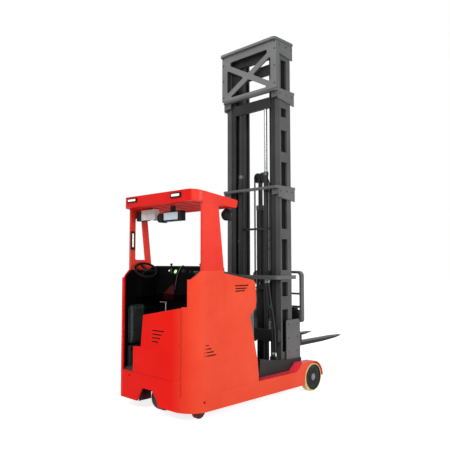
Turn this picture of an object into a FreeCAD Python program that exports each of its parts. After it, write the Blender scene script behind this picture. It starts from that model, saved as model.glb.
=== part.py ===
"""Stand-on reach truck with a three-stage mast, as an assembly of separate pieces.

X points forward to the fork tips, Y to the left and Z up, in millimetres.
While it is drawn, X is counted from the rear face of the body. Each piece is moved
as it is written, so that the origin is on the floor under the middle of the truck.
"""

import FreeCAD, Part
import math
import os

V = FreeCAD.Vector

# Overall sizes
half_width = 610.0
body_length = 983.0
ground_gap = 100.0
guard_height = 2250.0
mast_height = 4245.0
fork_tip_x = 3110.0
load_face_x = 2095.0
origin_x = fork_tip_x / 2

# Clearances between pieces
run_gap = 8.0
wheel_gap = 6.0
slide_gap = 0.5
roller_gap = 0.8
seat_gap = 0.3

# Body shell
shell_wall = 22.0
corner_right = 230.0
corner_left = 150.0
skirt_top = 385.0
skirt_end_x = 450.0
entrance_y = half_width - 132
frame_plate_z = 345.0
tray_z = 480.0
wall_x = 560.0
cover_seam_y = 147 - half_width
cover_step_y = 95 - half_width
cover_left_top = (121.0, 987.0)
cover_left_mid = (158.0, 660.0)
cover_left_low = 289.0
cover_step_z = 650.0
cover_slope = 0.177
arch_low_left = 222.0
arch_low_right = -140.0
arch_top_left = 130.0
arch_top_right = -33.0
arch_top = 245.0
panel_set_back = 4.0
panel_inner = half_width - shell_wall - panel_set_back
liner_wall = 34.0
vent_height = 12.0
tie_hole = 13.0

# Side panel outline
panel_rear_top = 1365.0
shoulder_x = 161.0
shoulder_z = 1450.0
shoulder_foot_x = 75.0
pillar_low_front = 457.0
hood_rear_z = 1424.0
hood_front_x = 925.0
hood_front_z = 1338.0
hood_rise = 20.0
panel_front_high = 949.0
recess_x = 850.0
recess_top = 1050.0
recess_z = 967.0

# Guard
roof_front_x = 660.0
roof_front_top = guard_height - 71
roof_under_rear = guard_height - 115
roof_under_front = guard_height - 154
roof_half = half_width - 4
roof_rear_x = 52.0
roof_corner = 110.0
roof_bar = 60.0
rib_count = 6
pillar_wall = 32.0
pillar_top_front = 378.0
lamp_rear_x = 205.0
lamp_front_x = 275.0
post_rear_width = 62.0
post_front_width = 68.0
post_sill = shoulder_z + 110
post_head = guard_height - 220

# Outriggers and load wheels
outrigger_width = 118.0
outrigger_top = 270.0
outrigger_rear = 450.0
ramp_start_x = 1650.0
ramp_end_x = 1760.0
wheel_x = 1984.0
wheel_radius = 165.0
fender_radius = 190.0
fender_plate = 15.0
fender_top = wheel_radius + fender_radius
wheel_width = 78.0
wheel_bay_x = 1800.0
axle_radius = 25.0
track_low = 122.0
track_high = 232.0

# Drive and support wheels
drive_x = 235.0
drive_y = 40.0
drive_radius = 150.0
drive_width = 90.0
caster_x = 300.0
caster_y = 168 - half_width
caster_radius = 75.0
caster_width = 50.0
caster_trail = 35.0

# Reach carriage
reach_roller_radius = 52.0
reach_rear_x = 1140.0
reach_low = 112.0
reach_top = 459.0
reach_plate_y = half_width - outrigger_width - 14
reach_plate = 26.0
reach_stroke_back = 500.0
reach_rod_radius = 22.0
reach_barrel_radius = 40.0
reach_cylinder_z = 190.0
beam_rear_x = 1450.0
beam_front_x = 1560.0
reach_rod_end = 1520.0
reach_barrel_rear = 410.0
reach_barrel_front = 1012.0

# Mast sections: each stage nests inside the one before it
stage_lift = 2350.0
mast_rear_x = 1583.0
mast_front_x = 1790.0
flange = 24.0
outer_face = reach_plate_y - 40
outer_inner = outer_face - 72
outer_web = (outer_inner + 34, outer_inner + 46)
middle_face = outer_inner - run_gap
middle_inner = middle_face - 61
middle_web = (middle_inner + 33, middle_inner + 45)
inner_face = middle_inner - run_gap
inner_inner = inner_face - 59
inner_web = (inner_inner + 32, inner_inner + 44)
inner_rear_x = 1640.0
mast_foot = 105.0
middle_foot = 115.0
middle_top = mast_height - 65
inner_foot = 125.0
inner_top = mast_height - 95
window_front_x = 1715.0

# Mast bands
band_rear_x = 1500.0
band_front_x = 1855.0
band_half = outer_face + 17
band_plate = 30.0
band_web = 16.0
band_corner = 45.0
high_band = mast_height - 615
middle_band = mast_height * 0.576
low_band = 1376.0
low_band_height = 46.0
bracket_width = 110.0
cross_beam_low = 604.0
cross_beam_top = 742.0

# Crossed arms of the mast head
head_rear_x = 1456.0
head_middle_z = mast_height - 370
head_arm_half = 40.0
head_window_top = mast_height - 115
head_window_low = high_band + 32
head_lens_half = band_half - 145
head_window_half = band_half - 90
head_lens_drop = 48.0
head_slope = (head_window_top - head_lens_drop - head_middle_z - head_arm_half) / head_lens_half

# Lift cylinders
lift_x = 1596.0
lift_y = inner_inner - 24
lift_barrel_radius = 29.0
lift_rod_radius = 20.0
lift_foot = 150.0
lift_gland = lift_foot + stage_lift + 140
lift_head = mast_height - 820
free_x = 1733.0
free_barrel_radius = 50.0
free_rod_radius = 28.0
free_foot = 150.0
free_gland = mast_height - 1995
free_head = mast_height - 1705
sheave_radius = 58.0
chain_foot = 1262.0
chain_lug_top = 930.0
hose_radius = 11.0
hose_bend_share = 0.45
hose_block_top = 440.0

# Fork carriage
carriage_plate_y = inner_inner - 8
carriage_plate = 24.0
carriage_front_x = 1905.0
carriage_low = 520.0
carriage_top = 960.0
fork_top_z = 530.0
fork_thick = 40.0
fork_width = 120.0
fork_y = 250.0
shank_top = 944.0
bar_rear_x = 1990.0
bar_depth = 45.0
tilt_pivot_x = 1945.0
tilt_pivot_z = 600.0
backrest_half = 400.0
backrest_top = 1423.0
backrest_low = 789.0
backrest_bar = 30.0

# Steering wheel
wheel_centre = V(277.0, half_width - 165, 1445.5)
wheel_axis = V(-0.205, -0.585, 0.785)
wheel_ring = 133.0
wheel_grip = 13.0

pieces = {}


def box(x0, x1, y0, y1, z0, z1):
    """Block between two corners."""
    return Part.makeBox(x1 - x0, y1 - y0, z1 - z0, V(x0, y0, z0))


def round_bar(radius, start, end):
    """Cylinder between two points."""
    along = end.sub(start)
    return Part.makeCylinder(radius, along.Length, start, along)


def tube(radius, bore, start, end):
    """Hollow cylinder between two points."""
    return round_bar(radius, start, end).cut(round_bar(bore, start, end))


def side_profile(points, y0, y1):
    """Polygon given as (x, z), pushed from y0 to y1."""
    corners = [V(x, y0, z) for x, z in points]
    face = Part.Face(Part.makePolygon(corners + corners[:1]))
    return face.extrude(V(0, y1 - y0, 0))


def rear_profile(points, x0, x1):
    """Polygon given as (y, z), pushed from x0 to x1."""
    corners = [V(x0, y, z) for y, z in points]
    face = Part.Face(Part.makePolygon(corners + corners[:1]))
    return face.extrude(V(x1 - x0, 0, 0))


def plan_profile(points, z0, z1):
    """Polygon given as (x, y), pushed from z0 to z1."""
    corners = [V(x, y, z0) for x, y in points]
    face = Part.Face(Part.makePolygon(corners + corners[:1]))
    return face.extrude(V(0, 0, z1 - z0))


def fuse(shapes):
    """One solid from shapes that touch or overlap."""
    whole = shapes[0]
    for shape in shapes[1:]:
        whole = whole.fuse(shape)
    return whole.removeSplitter()


def mirrored(shape):
    """The same shape on the other side of the truck."""
    return shape.mirror(V(0, 0, 0), V(0, 1, 0))


def rounded_edges(shape, radius, along, test):
    """Round the straight edges along one direction that the test picks by their place."""
    picked = []
    for edge in shape.Edges:
        start = edge.Vertexes[0].Point
        run = edge.Vertexes[-1].Point.sub(start)
        if run.Length > 0.01 and run.cross(along).Length < 0.01 and test(start):
            picked.append(edge)
    return shape.makeFillet(radius, picked)


def upright_edges(shape, radius, test):
    """Round the edges along Z that the test picks by their place."""
    return rounded_edges(shape, radius, V(0, 0, 1), test)


def rounded_window(points, x0, x1, radius):
    """Cutter for a window with round corners, from a (y, z) outline."""
    return rounded_edges(rear_profile(points, x0, x1), radius, V(1, 0, 0), lambda p: True)


def both_sides(y0, y1):
    """The same width on the left and on the right, as (low, high) pairs."""
    return [(y0, y1), (-y1, -y0)]


def turned_about_y(points, x, z):
    """Solid of revolution about a line along Y, from (radius, y) points."""
    corners = [V(x, y, z + r) for r, y in points]
    face = Part.Face(Part.makePolygon(corners + corners[:1]))
    return face.revolve(V(x, 0, z), V(0, 1, 0), 360)


def body_block(inset, z0, z1):
    """Plan of the body with its two rounded rear corners, set in by a wall."""
    block = box(inset, body_length, -half_width + inset, half_width - inset, z0, z1)
    block = upright_edges(block, corner_right - inset, lambda p: p.x < 60 and p.y < 0)
    return upright_edges(block, corner_left - inset, lambda p: p.x < 60 and p.y > 0)


def body_shell(z0, z1, inset=0.0):
    """Wall that follows the plan of the body, open to the front."""
    return body_block(inset, z0, z1).cut(body_block(inset + shell_wall, z0, z1).fuse(
        box(body_length - 1, body_length + 1, -half_width + inset + shell_wall,
            half_width - inset - shell_wall, z0, z1)))


def cover_top(y):
    """Height of the sloping top edge of the rear cover."""
    return cover_left_top[1] + cover_slope * (cover_left_top[0] - y)


def slots(rows, x0, x1, y0, y1):
    """Vent slots from rows of (start, end, z), cut in the box between x and y limits."""
    cuts = []
    for start, end, z in rows:
        if x0 is None:
            cuts.append(box(start, end, y0, y1, z - vent_height / 2, z + vent_height / 2))
        else:
            cuts.append(box(x0, x1, start, end, z - vent_height / 2, z + vent_height / 2))
    return cuts


def rear_skirt():
    """Low wall round the rear with the arch of the drive wheel."""
    wall = body_shell(ground_gap, skirt_top)
    wall = wall.common(box(-5, skirt_end_x, cover_seam_y, half_width + 5, 0, 3000))
    arch = rear_profile([(arch_low_left, ground_gap - 5), (arch_top_left, arch_top),
                         (arch_top_right, arch_top), (arch_low_right + 35, arch_top - 75),
                         (arch_low_right, ground_gap - 5)], -5, shell_wall + 5)
    hole = round_bar(tie_hole, V(-5, 345, 343), V(shell_wall + 5, 345, 343))
    return wall.cut(arch).cut(hole)


def rear_cover():
    """Stepped cover on the rear face, up to its sloping top edge."""
    wall = body_shell(skirt_top, 1200)
    outline = rear_profile([(cover_seam_y, skirt_top), (cover_left_low, skirt_top),
                            (cover_left_low, cover_step_z), cover_left_mid, cover_left_top,
                            (cover_seam_y, cover_top(cover_seam_y))], -5, 300)
    wall = wall.common(outline)
    vent_rows = [(-224, -32, 845), (-190, -32, 808), (-160, -32, 771), (-131, -32, 734)]
    for cut in slots(vent_rows, -5, shell_wall / 2, None, None):
        wall = wall.cut(cut)
    return wall


def side_outline(front_low):
    """Outline of a body side from behind the pillar foot to the front, as (x, z)."""
    return [(-5, front_low), (-5, panel_rear_top), (shoulder_foot_x, panel_rear_top),
            (shoulder_x, shoulder_z), (pillar_low_front, shoulder_z),
            (pillar_low_front, hood_rear_z), (hood_front_x - 30, hood_front_z + 6),
            (hood_front_x, hood_front_z - 10), (panel_front_high - 12, hood_front_z - 60),
            (panel_front_high, 1129), (940, recess_top), (recess_x, recess_z),
            (965, 500), (body_length, 346), (body_length, front_low)]


def side_panel(outline, y_low, y_high):
    """Body side above the outrigger, cut from the shell."""
    upper = body_shell(outrigger_top, 1600, panel_set_back)
    corner = body_shell(ground_gap, 1600)
    corner = corner.common(box(-5, outrigger_rear, y_low, y_high, 0, 3000))
    rest = upper.common(box(outrigger_rear, body_length + 5, y_low, y_high, 0, 3000))
    whole = corner.fuse(rest)
    return whole.common(side_profile(outline, y_low - 5, y_high + 5)).removeSplitter()


def side_panel_right():
    """Right side of the body with its rounded rear corner and vents."""
    panel = side_panel(side_outline(ground_gap), -half_width - 5, cover_seam_y)
    above = rear_profile([(cover_seam_y + 5, cover_top(cover_step_y)), (cover_step_y, cover_top(cover_step_y)),
                          (cover_step_y, 1600), (cover_seam_y + 5, 1600)], -5, 200)
    panel = panel.cut(above)
    low_rows = [(190, 243, 727), (190, 281, 694), (190, 313, 661), (190, 345, 628)]
    high_rows = [(618, 825, 1290), (625, 800, 1262), (625, 770, 1236)]
    for cut in slots(low_rows + high_rows, None, None, -half_width - 5, -half_width + 12):
        panel = panel.cut(cut)
    return panel.cut(round_bar(tie_hole, V(194, -half_width - 5, 194), V(194, -half_width + shell_wall + 8, 194)))


def side_panel_left():
    """Left side of the body, round to the edge of the entrance."""
    panel = side_panel(side_outline(outrigger_top), entrance_y, half_width + 5)
    return panel.cut(box(-5, skirt_end_x, entrance_y - 5, half_width + 5, 0, skirt_top))


def inner_block(z0, z1):
    """Space inside the body walls, to their inner faces."""
    rear = body_block(shell_wall, z0, z1).common(box(0, outrigger_rear, -1000, 1000, z0, z1))
    front = body_block(shell_wall + panel_set_back, z0, z1)
    return rear.fuse(front.common(box(outrigger_rear, body_length, -1000, 1000, z0, z1))).removeSplitter()


def chassis_frame():
    """Machine room floor, its top plate and walls, and the battery tray."""
    inner_y = half_width - outrigger_width
    wide = panel_inner
    floor = inner_block(ground_gap + 60, ground_gap + 80)
    floor = floor.cut(box(outrigger_rear, body_length, inner_y, 1000, 0, 3000))
    floor = floor.cut(box(outrigger_rear, body_length, -1000, -inner_y, 0, 3000))
    floor = floor.common(box(0, 620, -1000, 1000, 0, 3000))
    arch = box(-5, drive_x + 185, drive_y - 185, drive_y + 185, 0, 400)
    well = round_bar(132, V(caster_x, caster_y, 0), V(caster_x, caster_y, 340))
    floor = floor.cut(arch).cut(well)
    top_plate = inner_block(frame_plate_z, frame_plate_z + 18).common(box(0, 620, -1000, 1000, 0, 3000))
    top_plate = top_plate.cut(round_bar(62, V(drive_x, drive_y, 300), V(drive_x, drive_y, 400)))
    top_plate = top_plate.cut(round_bar(30, V(caster_x, caster_y, 300), V(caster_x, caster_y, 400)))
    parts = [floor, top_plate]
    parts.append(box(602, 620, -inner_y, inner_y, ground_gap + 80, frame_plate_z))
    parts.append(box(602, 620, -wide, wide, frame_plate_z, 1100))
    parts.append(box(620, 935, -wide, wide, tray_z - 20, tray_z))
    for side in (-1, 1):
        parts.append(box(outrigger_rear, 620, *sorted((side * (inner_y - 14), side * inner_y)),
                         ground_gap + 60, frame_plate_z + 5))
        parts.append(box(620, 935, *sorted((side * (wide - 16), side * wide)), outrigger_top, tray_z))
    parts.append(box(outrigger_rear - 18, outrigger_rear, -wide + 140, wide, ground_gap + 80, frame_plate_z))
    frame = fuse(parts)
    hole = round_bar(reach_barrel_radius, V(reach_barrel_rear, 0, reach_cylinder_z), V(660, 0, reach_cylinder_z))
    return frame.cut(hole)


def leg_bar(radius, y0, y1):
    """Cylinder about the axle of the load wheel."""
    return round_bar(radius, V(wheel_x, y0, wheel_radius), V(wheel_x, y1, wheel_radius))


def outrigger():
    """Left leg: a box with an inner track for the reach rollers and a fender that hugs the load wheel."""
    inner = half_width - outrigger_width
    web_face = half_width - wheel_gap - wheel_width - wheel_gap
    outline = [(outrigger_rear, ground_gap), (wheel_bay_x, ground_gap), (wheel_bay_x, fender_top),
               (ramp_end_x, fender_top), (ramp_start_x, outrigger_top), (outrigger_rear, outrigger_top)]
    leg = side_profile(outline, inner, half_width)
    leg = leg.cut(box(outrigger_rear + 100, wheel_bay_x - 30, inner - 5, inner + 62, track_low, track_high))
    hood = leg_bar(fender_radius, inner, half_width)
    hood = hood.fuse(box(wheel_bay_x, wheel_x, inner, half_width, wheel_radius, fender_top))
    hood = hood.cut(box(wheel_bay_x - 100, wheel_x + 300, inner - 5, half_width + 5, -100, wheel_radius))
    web = hood.fuse(side_profile([(wheel_bay_x, wheel_radius), (wheel_bay_x, 120), (wheel_x - 60, 105),
                                  (wheel_x + 60, 105), (wheel_x + fender_radius - 6, wheel_radius)], inner, half_width))
    web = web.common(box(wheel_bay_x - 5, wheel_x + 300, inner, web_face, 0, 400))
    hood = hood.cut(leg_bar(fender_radius - fender_plate, inner - 5, half_width + 5))
    return fuse([leg, hood, web]).cut(leg_bar(axle_radius, inner - 5, web_face + 5))


def load_axle():
    """Stub axle with a flange on the inner side of the outrigger."""
    inner = half_width - outrigger_width
    return fuse([leg_bar(axle_radius, inner, half_width - wheel_gap - 3), leg_bar(axle_radius + 14, inner - 8, inner)])


def load_wheel():
    """Moulded tyre on a dished hub, bored for its axle."""
    y1 = half_width - wheel_gap
    y0 = y1 - wheel_width
    bore = axle_radius + slide_gap
    turned = [(bore, y0), (wheel_radius - 6, y0), (wheel_radius, y0 + 8), (wheel_radius, y1 - 8),
              (wheel_radius - 6, y1), (wheel_radius - 16, y1), (wheel_radius - 24, y1 - 16),
              (66, y1 - 24), (52, y1 - 10), (44, y1 - 4), (bore, y1 - 4)]
    return turned_about_y(turned, wheel_x, wheel_radius)


def drive_unit():
    """Turning ring, gear housing and motor of the drive wheel."""
    top = frame_plate_z
    ring = round_bar(125, V(drive_x, drive_y, top - 30), V(drive_x, drive_y, top - seat_gap))
    motor = round_bar(60, V(drive_x, drive_y, top - 30), V(drive_x, drive_y, 640))
    cap = round_bar(48, V(drive_x, drive_y, 640), V(drive_x, drive_y, 665))
    side_y = drive_y + drive_width / 2 + 10
    housing = side_profile([(drive_x - 95, top - 26), (drive_x + 95, top - 26), (drive_x + 95, 230),
                            (drive_x + 60, 95), (drive_x - 60, 95), (drive_x - 95, 230)],
                           side_y, side_y + 58)
    boss = round_bar(40, V(drive_x, side_y - 8, drive_radius), V(drive_x, side_y + 5, drive_radius))
    stub = round_bar(22, V(drive_x, drive_y - 34, drive_radius), V(drive_x, side_y, drive_radius))
    return fuse([ring, motor, cap, housing, boss, stub])


def drive_wheel():
    """Thick tyre on a hub that is bored for the stub."""
    y0 = drive_y - drive_width / 2
    y1 = drive_y + drive_width / 2
    bore = 22 + slide_gap
    turned = [(bore, y0 + 12), (100, y0 + 12), (110, y0), (drive_radius - 8, y0), (drive_radius, y0 + 8),
              (drive_radius, y1 - 8), (drive_radius - 8, y1), (110, y1), (bore, y1 - 4)]
    return turned_about_y(turned, drive_x, drive_radius)


def caster_fork():
    """Swivel fork of the support wheel, with its pin through the wheel."""
    axle_x = caster_x - caster_trail
    top = frame_plate_z
    plate = round_bar(58, V(caster_x, caster_y, top - 42), V(caster_x, caster_y, top - seat_gap))
    stem = round_bar(29.5, V(caster_x, caster_y, top - 42), V(caster_x, caster_y, top + 24))
    crown = box(axle_x - 32, caster_x + 40, caster_y - 42, caster_y + 42, top - 56, top - 42)
    cheeks = []
    for side in (-1, 1):
        y = caster_y + side * 36
        cheeks.append(side_profile([(caster_x + 40, top - 50), (axle_x - 32, top - 50),
                                    (axle_x - 24, 52), (axle_x + 24, 52)], y - 6, y + 6))
    pin = round_bar(12, V(axle_x, caster_y - 46, caster_radius), V(axle_x, caster_y + 46, caster_radius))
    return fuse([plate, stem, crown] + cheeks + [pin])


def caster_wheel():
    """Narrow support wheel, bored for its pin."""
    y0 = caster_y - caster_width / 2
    y1 = caster_y + caster_width / 2
    bore = 12 + slide_gap
    turned = [(bore, y0), (30, y0), (44, y0 + 6), (caster_radius - 5, y0), (caster_radius, y0 + 5),
              (caster_radius, y1 - 5), (caster_radius - 5, y1), (44, y1 - 6), (30, y1), (bore, y1)]
    return turned_about_y(turned, caster_x - caster_trail, caster_radius)


def battery():
    """Traction battery, one block in its tray."""
    half = panel_inner - 44
    return box(640, 905, -half, half, tray_z, 1110)


def battery_hood():
    """Sloping top over the battery, a little proud of the side panels, with its front wall."""
    inside = panel_inner
    rear_x = pillar_low_front + 4
    top = side_profile([(rear_x, hood_rear_z + hood_rise), (hood_front_x - 34, hood_front_z + hood_rise + 14),
                        (hood_front_x - 6, hood_front_z + hood_rise), (hood_front_x + 6, hood_front_z - 24),
                        (hood_front_x + 10, tray_z), (hood_front_x - 10, tray_z),
                        (hood_front_x - 14, hood_front_z - 30), (hood_front_x - 38, hood_front_z - 2),
                        (rear_x, hood_rear_z - 16)], -inside, inside)
    top = top.cut(box(rear_x - 5, wall_x + 26, -inside + 88, inside + 5, 1000, 1600))
    cheeks = []
    for side in (-1, 1):
        y0, y1 = sorted((side * (inside - 18), side * inside))
        cheeks.append(box(800, hood_front_x - 8, y0, y1, tray_z, 1300))
    return fuse([top] + cheeks)


def cab_floor():
    """Standing platform with a raised mat."""
    low_y = cover_left_top[0] - 2
    high_y = panel_inner
    plate = box(shell_wall, wall_x, low_y, high_y, frame_plate_z + 18, skirt_top)
    mat = box(shell_wall + 40, wall_x - 30, cover_left_mid[0] + 12, high_y - 50, skirt_top, skirt_top + 10)
    plate = plate.common(body_block(shell_wall, 0, 3000))
    return fuse([plate, mat])


def cab_liner():
    """Black inner walls: one along the left side, one beside the machine room with its lid."""
    outer_y = panel_inner
    left = [(90, skirt_top), (90, panel_rear_top + 10), (shoulder_foot_x + 22, panel_rear_top + 16),
            (shoulder_x + 4, shoulder_z - 6), (pillar_low_front, shoulder_z - 6),
            (pillar_low_front, hood_rear_z - 6), (wall_x, 1400), (wall_x, skirt_top)]
    wall = side_profile(left, outer_y - liner_wall, outer_y)
    wall = wall.cut(body_shell(0, 3000))
    low_y = cover_left_top[0] - 20
    foot = frame_plate_z + 18
    lid_rise = [(low_y, foot), (low_y + 18, foot), (low_y + 18, 962), (-outer_y + 8, 1066),
                (-outer_y + 8, 1048), (low_y, 944)]
    room = rear_profile(lid_rise, shell_wall, wall_x)
    room = room.common(body_block(shell_wall + panel_set_back, 0, 3000))
    return wall, room


def console():
    """Dash across the front of the cab: a raised instrument box on a wall panel."""
    outer_y = panel_inner
    outline = [(wall_x, skirt_top), (wall_x, 1090), (430, 1180), (400, 1400), (430, 1478),
               (462, 1488), (490, 1488), (wall_x, 1484), (wall_x + 20, 1470), (wall_x + 20, skirt_top)]
    body = side_profile(outline, -outer_y + 94, outer_y - liner_wall)
    skirt = side_profile([(wall_x, skirt_top), (wall_x, 1180), (wall_x + 20, 1180), (wall_x + 20, skirt_top)],
                         -outer_y, outer_y - liner_wall)
    axis = V(wheel_axis)
    axis.normalize()
    low = wheel_centre.sub(V(axis).multiply(90))
    hollow = round_bar(wheel_ring + 26, low, wheel_centre.add(V(axis).multiply(150)))
    return fuse([body, skirt]).cut(hollow)


def steering_column():
    """Pod on the left wall and the spindle that carries the steering wheel."""
    axis = V(wheel_axis)
    axis.normalize()
    face = panel_inner - liner_wall
    top = wheel_centre.z
    pod = rear_profile([(face, top - 296), (face, top - 18), (face - 110, top - 100), (face - 122, top - 146),
                        (face - 80, top - 296)], wheel_centre.x - 62, wheel_centre.x + 121)
    spindle = round_bar(14, wheel_centre.sub(V(axis).multiply(105)), wheel_centre)
    return fuse([pod, spindle])


def roof_under(x):
    """Height of the underside of the guard."""
    share = (x - roof_rear_x) / (roof_front_x - 30 - roof_rear_x)
    return roof_under_rear + (roof_under_front - roof_under_rear) * share


def rib_x(number):
    """Middle of one cross bar of the guard, counted from the rear."""
    return roof_rear_x + 50 + (roof_front_x - roof_rear_x - 120) * number / (rib_count + 1)


def guard_roof():
    """Overhead guard: a frame that slopes to the front, with cross bars between its sides."""
    outline = [(roof_rear_x, roof_under_rear), (roof_rear_x, guard_height), (roof_front_x - 10, roof_front_top),
               (roof_front_x, roof_front_top - 14), (roof_front_x - 14, roof_under_front + 8),
               (roof_front_x - 30, roof_under_front)]
    slab = side_profile(outline, -roof_half, roof_half)
    plan = box(0, roof_front_x + 5, -roof_half, roof_half, 2000, 2400)
    plan = plan.cut(box(0, roof_rear_x, -roof_half, roof_half, 2000, 2400))
    plan = upright_edges(plan, roof_corner, lambda p: p.x < roof_rear_x + 5)
    opening = box(roof_rear_x + 50, roof_front_x - 70, -roof_half + roof_bar, roof_half - roof_bar, 2000, 2400)
    frame = slab.common(plan).cut(opening)
    parts = [frame]
    for number in range(1, rib_count + 1):
        x = rib_x(number)
        low = roof_under(x) + 6
        parts.append(box(x - 14, x + 14, -roof_half + roof_bar, roof_half - roof_bar, low, low + 46))
    return fuse(parts)


def pillar_outline():
    """Side view of a guard pillar, wider at its foot, as (x, z)."""
    return [(shoulder_x, shoulder_z), (shoulder_x, roof_under(shoulder_x)),
            (pillar_top_front, roof_under(pillar_top_front)), (pillar_low_front, shoulder_z)]


def pillar_right():
    """Solid plate on the right."""
    outer = half_width - panel_set_back
    return side_profile(pillar_outline(), -outer, -outer + pillar_wall)


def pillar_left():
    """Plate on the left, cut to a rear post and a slanted front post."""
    outer = half_width - panel_set_back
    plate = side_profile(pillar_outline(), outer - pillar_wall, outer)
    lean = (pillar_low_front - pillar_top_front) / (roof_under(pillar_top_front) - shoulder_z)
    high = pillar_low_front - post_front_width - lean * (post_head - shoulder_z)
    low = pillar_low_front - post_front_width - lean * (post_sill - shoulder_z)
    rear = shoulder_x + post_rear_width
    window = side_profile([(rear, post_sill + 12), (rear + 12, post_sill), (low, post_sill), (high, post_head),
                           (rear + 12, post_head), (rear, post_head - 12)], 0, 1000)
    return plate.cut(window)


def guard_lamps():
    """Two flat lamps on the rear beam and a strip lamp on the left rear post."""
    # Left and right edge, drop of the low and the high edge below the top of the guard
    rows = [(roof_half - 287, roof_half - 121, 64, 21), (197 - roof_half, 350 - roof_half, 72, 23)]
    lamps = [box(roof_rear_x - 14, roof_rear_x, y0, y1, guard_height - low, guard_height - high)
             for y0, y1, low, high in rows]
    inner = half_width - panel_set_back - pillar_wall
    lamps.append(box(shoulder_x - 6, shoulder_x + 46, inner - 12, inner, 1676, 1882))
    return Part.makeCompound(lamps)


def cab_lamp():
    """Grey box lamp that hangs under the left of the roof on a black bracket."""
    low = guard_height - 252
    left = roof_half - 153
    body = box(lamp_rear_x, lamp_front_x, left - 246, left, low, low + 112)
    bracket = box(lamp_rear_x + 10, lamp_front_x - 10, left, left + 94, low - 4, low + 106)
    x = rib_x(2)
    hanger = box(x - 12, x + 12, left - 150, left - 90, low + 112, roof_under(x) + 6)
    return fuse([upright_edges(body, 12, lambda p: True), bracket, hanger])


def cab_mirror():
    """Black lamp with a pale face, with a round horn at its left end, under the middle of the roof."""
    low = guard_height - 285
    body = box(lamp_rear_x, lamp_front_x, -232, 60, low, low + 104)
    horn = round_bar(50, V(lamp_rear_x - 10, 98, low + 40), V(lamp_front_x, 98, low + 40))
    x = rib_x(2)
    hanger = box(x - 12, x + 12, -90, -30, low + 104, roof_under(x) + 6)
    return fuse([upright_edges(body, 14, lambda p: True), horn, hanger])


def work_lamp():
    """Round lamp under the right front corner of the roof, facing the mast."""
    centre = V(roof_front_x - 50, 126 - roof_half, guard_height - 218)
    bowl = round_bar(62, centre, centre.add(V(60, 0, 0)))
    back = Part.makeCone(30, 62, 40, centre.sub(V(40, 0, 0)), V(1, 0, 0))
    rear = centre.x - 5
    front = centre.x + 20
    stem = side_profile([(rear, centre.z), (rear, roof_under(rear)), (front, roof_under(front)),
                         (front, centre.z)], centre.y - 12, centre.y + 12)
    return fuse([bowl, back, stem])


def steering_wheel():
    """Ring, three spokes and a hub bored for the spindle, with a turning knob."""
    flat = V(0, 0, 1)
    origin = V(0, 0, 0)
    ring = Part.makeTorus(wheel_ring - wheel_grip, wheel_grip, origin, flat)
    hub = Part.makeCylinder(30, 22, V(0, 0, -16), flat).cut(Part.makeCylinder(14 + slide_gap, 18, V(0, 0, -17), flat))
    parts = [ring, hub]
    for turn in (90, 210, 330):
        spoke = box(20, wheel_ring - wheel_grip, -10, 10, -6, 4)
        spoke.rotate(origin, flat, turn)
        parts.append(spoke)
    parts.append(Part.makeCylinder(12, 42, V(-(wheel_ring - wheel_grip), 0, 6), flat))
    wheel = fuse(parts)
    wheel.Placement = FreeCAD.Placement(wheel_centre, FreeCAD.Rotation(flat, wheel_axis))
    return wheel


def hand_levers():
    """Two short knobs on the top of the dash."""
    knobs = [round_bar(9, V(475, y, 1488), V(475, y, 1512)) for y in (240, -240)]
    return Part.makeCompound(knobs)


def hip_pad():
    """Upright pad on the left wall, beside the driver's hip, on a narrow box."""
    face = panel_inner - liner_wall - seat_gap
    pad = box(100, 330, face - 62, face, 620, 1072)
    pad = upright_edges(pad, 50, lambda p: p.y < face - 30)
    post = box(110, 240, face - 44, face, skirt_top + 12, 620)
    return fuse([pad, post])


def reach_frame():
    """Carriage that slides between the legs: side plates, beams and rollers."""
    inner_y = reach_plate_y - reach_plate
    outline = [(reach_rear_x + 30, reach_low), (reach_rear_x, 200), (reach_rear_x, 300), (reach_rear_x + 23, reach_top),
               (1535, 400), (band_front_x + 60, 392), (band_front_x + 60, 330), (mast_front_x, reach_low + 20),
               (mast_front_x - 30, reach_low)]
    plate = side_profile(outline, inner_y, reach_plate_y)
    shoe = box(mast_rear_x, mast_front_x, outer_face, inner_y, reach_low + 20, 390)
    gusset = side_profile([(1650, 319), (1650, 835), (1668, 851), (1880, 851), (band_front_x + 60, 815),
                           (band_front_x + 60, 319)], inner_y, inner_y + 12)
    gusset = gusset.cut(side_profile(outline, inner_y - 5, reach_plate_y + 5))
    half = [plate, shoe, gusset]
    for x in (reach_rear_x + 120, mast_rear_x + 60):
        z = track_low + reach_roller_radius + seat_gap
        half.append(round_bar(reach_roller_radius, V(x, reach_plate_y + 18, z), V(x, reach_plate_y + 62, z)))
        half.append(round_bar(20, V(x, inner_y, z), V(x, reach_plate_y + 30, z)))
    parts = half + [mirrored(shape) for shape in half]
    parts.append(box(reach_rear_x + 30, reach_rear_x + 110, -inner_y, inner_y, 235, 415))
    beam = box(beam_rear_x, beam_front_x, -inner_y, inner_y, 150, 300)
    parts.append(beam.cut(box(beam_rear_x - 5, reach_rod_end, -50, 50, 140, 310)))
    parts.append(box(1476, 1528, -inner_y + 12, -inner_y + 100, 300, hose_block_top))
    for side in (-1, 1):
        y0, y1 = sorted((side * 160, side * 200))
        parts.append(box(reach_rear_x + 110, beam_rear_x, y0, y1, 240, 300))
    return fuse(parts)


def reach_barrel():
    """Reach cylinder barrel, bored for its rod."""
    start = V(reach_barrel_rear, 0, reach_cylinder_z)
    end = V(reach_barrel_front, 0, reach_cylinder_z)
    bore = round_bar(reach_rod_radius + slide_gap, start.add(V(15, 0, 0)), end.add(V(5, 0, 0)))
    return round_bar(reach_barrel_radius, start, end).cut(bore)


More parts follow.
